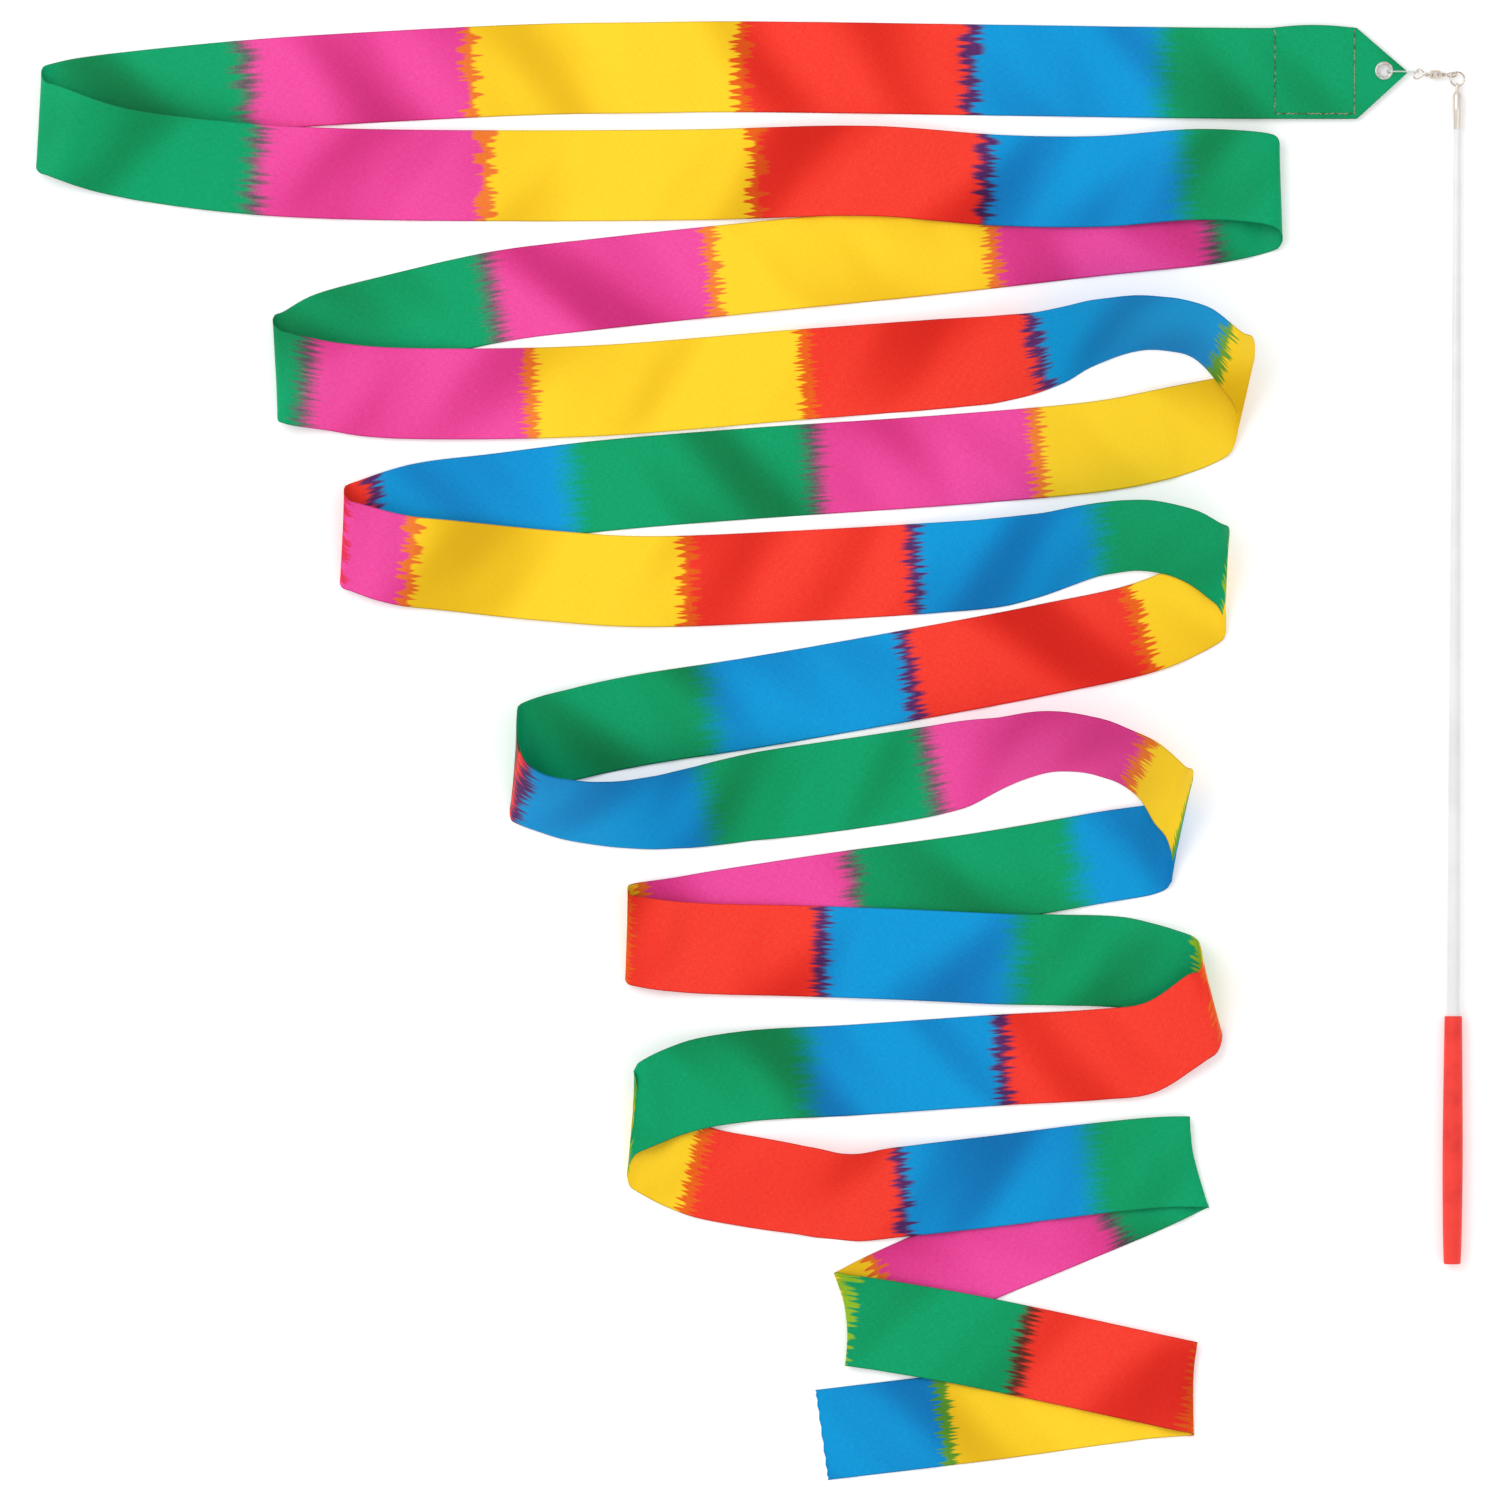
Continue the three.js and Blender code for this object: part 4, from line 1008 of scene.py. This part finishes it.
WIRE = 0.0004  # radius of the ring's and the eye's wire
STEM = 0.0003  # radius of the stems and of the snap's wire
EYE_RADIUS = 0.00205
EYE_TILT = math.radians(66)
LINK_ANGLE = math.radians(141)  # where on the tip ring the eye hangs
RING_SPLIT = math.radians(2.4)
HEAD_RADIUS = 0.00075
HEAD_LENGTH = 0.0005
WRAP_TURNS = 4
WRAP_STEPS = 28  # points in one turn
WRAP_WIRE = 0.00023


def circle(centre, radius, start, end, steps, tilt=0.0):
    """Points on an arc that is tilted about X."""
    turned_by = Matrix.Rotation(tilt, 3, "X")
    angles = np.linspace(start, end, steps)
    return [
        Vector(centre) + turned_by @ Vector((radius * math.cos(a), radius * math.sin(a), 0)) for a in angles
    ]


def smooth_line(points, closed=False, steps=8):
    """A Catmull-Rom curve through the points."""
    count = len(points)
    line = []
    for i in range(count if closed else count - 1):
        picked = [i - 1, i, i + 1, i + 2]
        if closed:
            a, b, c, d = [Vector(points[k % count]) for k in picked]
        else:
            a, b, c, d = [Vector(points[min(max(k, 0), count - 1)]) for k in picked]
        slope = c - a
        bend = 2 * a - 5 * b + 4 * c - d
        twist = 3 * b - a - 3 * c + d
        for u in np.arange(steps) / steps:
            line.append(0.5 * (2 * b + slope * u + bend * u**2 + twist * u**3))
    if not closed:
        line.append(Vector(points[-1]))
    return line


def make_tip_ring():
    """The split ring in the ferrule's lug."""
    low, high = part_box("tip_ring")
    centre = middle_of("tip_ring")
    radius = (high.y - low.y) / 2 - WIRE
    line = circle(centre, radius, RING_SPLIT / 2, 2 * math.pi - RING_SPLIT / 2, 90)
    put(curve_of("tip_ring_wire", [line], WIRE), "tip_ring_wire", "nickel_wire", "ring", "tip_ring")
    return centre, radius


def make_swivel_eye(ring_centre, ring_radius):
    """A closed eye on the tip ring's wire, its stem and the head that turns in the barrel."""
    middle = ring_centre + ring_radius * Vector((math.cos(LINK_ANGLE), math.sin(LINK_ANGLE), 0))
    loop = circle(middle, EYE_RADIUS, 0, 2 * math.pi, 61, EYE_TILT)[:-1]
    eye = curve_of("swivel_eye_loop", [loop], WIRE, closed=True)
    put(eye, "swivel_eye_loop", "nickel_wire", "eye", "swivel_eye")
    head_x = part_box("swivel_eye")[0].x
    stem = [middle - Vector((EYE_RADIUS, 0, 0)), Vector((head_x, middle.y, middle.z))]
    put(curve_of("swivel_eye_stem", [stem], STEM), "swivel_eye_stem", "nickel_wire", "eye")
    make_head("swivel_eye_head", head_x, middle, "eye")


def make_head(name, x, middle, body):
    """The upset end of a stem: a domed button."""
    dome = [
        (HEAD_LENGTH * 0.5 * (1 - math.cos(a)), HEAD_RADIUS * math.sin(a))
        for a in np.linspace(0.02, math.pi / 2, 8)
    ]
    back = [(HEAD_LENGTH, HEAD_RADIUS), (HEAD_LENGTH, STEM)]
    mesh = lathe(name, dome + back, (x, middle.y, middle.z), (1, 0, 0))
    put(mesh, name, "nickel_wire", body)


def make_wrap(node_name, name, body):
    """Close turns of wire round a stem."""
    low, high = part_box(node_name)
    centre = middle_of(node_name)
    radius = (high.z - low.z) / 2 - WRAP_WIRE
    length = high.x - low.x - 2 * WRAP_WIRE
    angles = np.linspace(0, 2 * math.pi * WRAP_TURNS, WRAP_STEPS * WRAP_TURNS)
    line = [
        (
            low.x + WRAP_WIRE + length * a / angles[-1],
            centre.y + radius * math.cos(a),
            centre.z + radius * math.sin(a),
        )
        for a in angles
    ]
    put(curve_of(name, [line], WRAP_WIRE), name, "nickel_wire", body, node_name)


def make_snap():
    """One wire: a heart-shaped hook whose notch holds the line, and its stem."""
    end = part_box("snap_hook")[1].x
    axis = middle_of("swivel_barrel")
    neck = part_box("snap_wrap")[0].x
    shape = [  # towards the line and across, from where the wire leaves the wrap
        (0.0002, 0.0),
        (-0.0007, -0.00025),
        (-0.0022, -0.00135),
        (-0.0037, -0.00185),
        (-0.0048, -0.0011),
        (-0.0047, 0.0003),
        (-0.0037, 0.0014),
        (-0.0033, 0.0021),
        (-0.0021, 0.00245),
        (-0.001, 0.0016),
        (-0.00045, 0.00095),
    ]
    hook = smooth_line([(neck + x, axis.y + y, axis.z) for x, y in shape])
    stem = [(neck, axis.y, axis.z), (end, axis.y, axis.z)]
    put(curve_of("snap_wire", [hook, stem], STEM), "snap_wire", "nickel_wire", "snap", "snap_hook")
    make_head("snap_head", end - HEAD_LENGTH, axis, "snap")


ring_centre, ring_radius = make_tip_ring()
make_swivel_eye(ring_centre, ring_radius)
make_wrap("eye_wrap", "eye_neck_turns", "eye")
make_wrap("snap_wrap", "snap_neck_turns", "snap")
make_snap()

# ---- Line, knot and eyelet ----------------------------------------------------------------

LINE_RADIUS = 0.00035
LOOP_RADIUS = 0.00105  # of the line's bend round the snap's wire
KNOT_LINE_SHARE = 0.4  # its turns are thinner than the line, to fit in the CAD knot
FLANGE_RADIUS = 0.004
EYELET_BORE = 0.0027
EYELET_WALL = 0.0003
FLARE_WIDTH = 0.0007
FLANGE_SINK = 0.0002  # below the top of the CAD model's eyelet


def make_line():
    """The loop of clear line, from the eyelet's bore over its flange, round the snap's wire and back."""
    low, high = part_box("nylon_loop")
    eyelet = middle_of("eyelet")
    y = (low.y + high.y) / 2
    axis_z = middle_of("swivel_barrel").z
    front = high.z - LINE_RADIUS
    back = low.z + LINE_RADIUS
    notch = high.x - LINE_RADIUS - LOOP_RADIUS
    bend = LOOP_RADIUS
    bore = eyelet.x + EYELET_BORE
    past_flange = eyelet.x + FLANGE_RADIUS + 0.0003
    hole = low.x + LINE_RADIUS
    points = [  # the line's points, given one by one
        (hole, y, 0.00145),
        (hole, y, 0.0026),
        (hole + 0.0003, y, front - 0.0005),
        (bore + 0.0002, y, front),
        (past_flange, y, front),
        (TIP_X, y, (front + axis_z + bend) / 2 + 0.0001),
        (notch, y, axis_z + bend),
        (notch + bend, y, axis_z),
        (notch, y, axis_z - bend),
        (TIP_X, y, back + 0.0003),
        (past_flange, y, back),
        (bore, y, back),
        (hole + 0.0003, y, back + 0.0003),
    ]
    data = curve_of("line_loop", [smooth_line(points, closed=True)], LINE_RADIUS, closed=True)
    put(data, "line_loop", "clear_nylon", "line", "nylon_loop")


def make_knot():
    """An overhand knot, as a trefoil of line round the strand."""
    low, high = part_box("line_knot")
    centre = middle_of("line_knot")
    reach = (high.x - low.x) / 2
    thick = KNOT_LINE_SHARE * LINE_RADIUS
    line = []
    for a in np.linspace(0, 2 * math.pi, 90, endpoint=False):
        radius = reach - 2 * thick + thick * math.cos(3 * a)
        height = (high.z - low.z) / 2 * math.sin(3 * a)
        line.append(centre + Vector((radius * math.cos(2 * a), radius * math.sin(2 * a), height)))
    put(curve_of("knot_turns", [line], thick, closed=True), "knot_turns", "clear_nylon", "line", "line_knot")


def make_eyelet():
    """A pressed eyelet: a bore that rolls over into a rounded flange."""
    low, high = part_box("eyelet")
    centre = middle_of("eyelet")
    top = high.z - FLANGE_SINK
    bottom = RAISED + RIBBON_THICK
    roll = (top - bottom) / 2
    wall = EYELET_BORE + EYELET_WALL
    barrel = [(low.z, wall), (low.z, EYELET_BORE), (bottom, EYELET_BORE)]
    outer = FLANGE_RADIUS - roll
    flare = [
        (bottom + 2 * roll * math.sin(a), EYELET_BORE + FLARE_WIDTH * (1 - math.cos(a)))
        for a in np.linspace(0.2, math.pi / 2, 6)
    ]
    rim = [
        (bottom + roll + roll * math.cos(a), outer + roll * math.sin(a))
        for a in np.linspace(0, math.pi, 10)
    ]
    under = [(bottom, wall), (low.z, wall)]
    mesh = lathe("eyelet_pressed", barrel + flare + rim + under, (centre.x, centre.y, 0), (0, 0, 1))
    put(mesh, "eyelet_pressed", "eyelet_nickel", "ribbon_end", "eyelet")
    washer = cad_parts["eyelet_washer"]
    washer.data.materials.clear()
    washer.data.materials.append(MATERIALS["eyelet_nickel"])


make_line()
make_knot()
make_eyelet()

# ---- Floor and light ----------------------------------------------------------------------

FLOOR_REACH = 4.0  # from the middle to each side
FLOOR_GLOW = 0.16  # keeps the background white without more light on the object
WORLD_STRENGTH = 0.8
WHITE = (1.0, 1.0, 1.0, 1.0)


def make_floor():
    """The white floor, which is only shown and isn't part of the object."""
    mesh = bpy.data.meshes.new("floor")
    corners = [(x * FLOOR_REACH, y * FLOOR_REACH, 0) for x, y in ((-1, -1), (1, -1), (1, 1), (-1, 1))]
    mesh.from_pydata(corners, [], [(0, 1, 2, 3)])
    made, tree, shader = material(
        "floor", roughness=0.9, specular_ior_level=0.1, emission_color=WHITE, emission_strength=FLOOR_GLOW
    )
    tone = ease(tree, noise(tree, object_place(tree), scale=3.0), low=0.3, high=0.7)
    paint(tree, shader, blend_colours(tree, tone, srgb(252, 252, 252), srgb(249, 249, 250)))
    mesh.materials.append(made)
    floor = new_object("floor", mesh)


def make_lamp(name, place_at, size, power):
    """A round soft lamp that faces the object."""
    data = bpy.data.lights.new(name, "AREA")
    data.shape = "DISK"
    data.size = size
    data.energy = power
    lamp = new_object(name, data)
    lamp.location = place_at
    lamp.rotation_euler = (-Vector(place_at)).to_track_quat("-Z", "Y").to_euler()


def make_light():
    """A white room with a soft key from the upper left and a weak fill."""
    bpy.context.scene.view_settings.view_transform = "Standard"
    world = bpy.data.worlds.new("studio")
    world.use_nodes = True
    background = world.node_tree.nodes["Background"]
    background.inputs["Color"].default_value = WHITE
    background.inputs["Strength"].default_value = WORLD_STRENGTH
    bpy.context.scene.world = world
    make_lamp("key", (-1.1, 0.9, 1.9), size=1.6, power=17.0)
    make_lamp("fill", (1.0, -0.8, 2.2), size=1.8, power=4.0)


make_floor()
make_light()
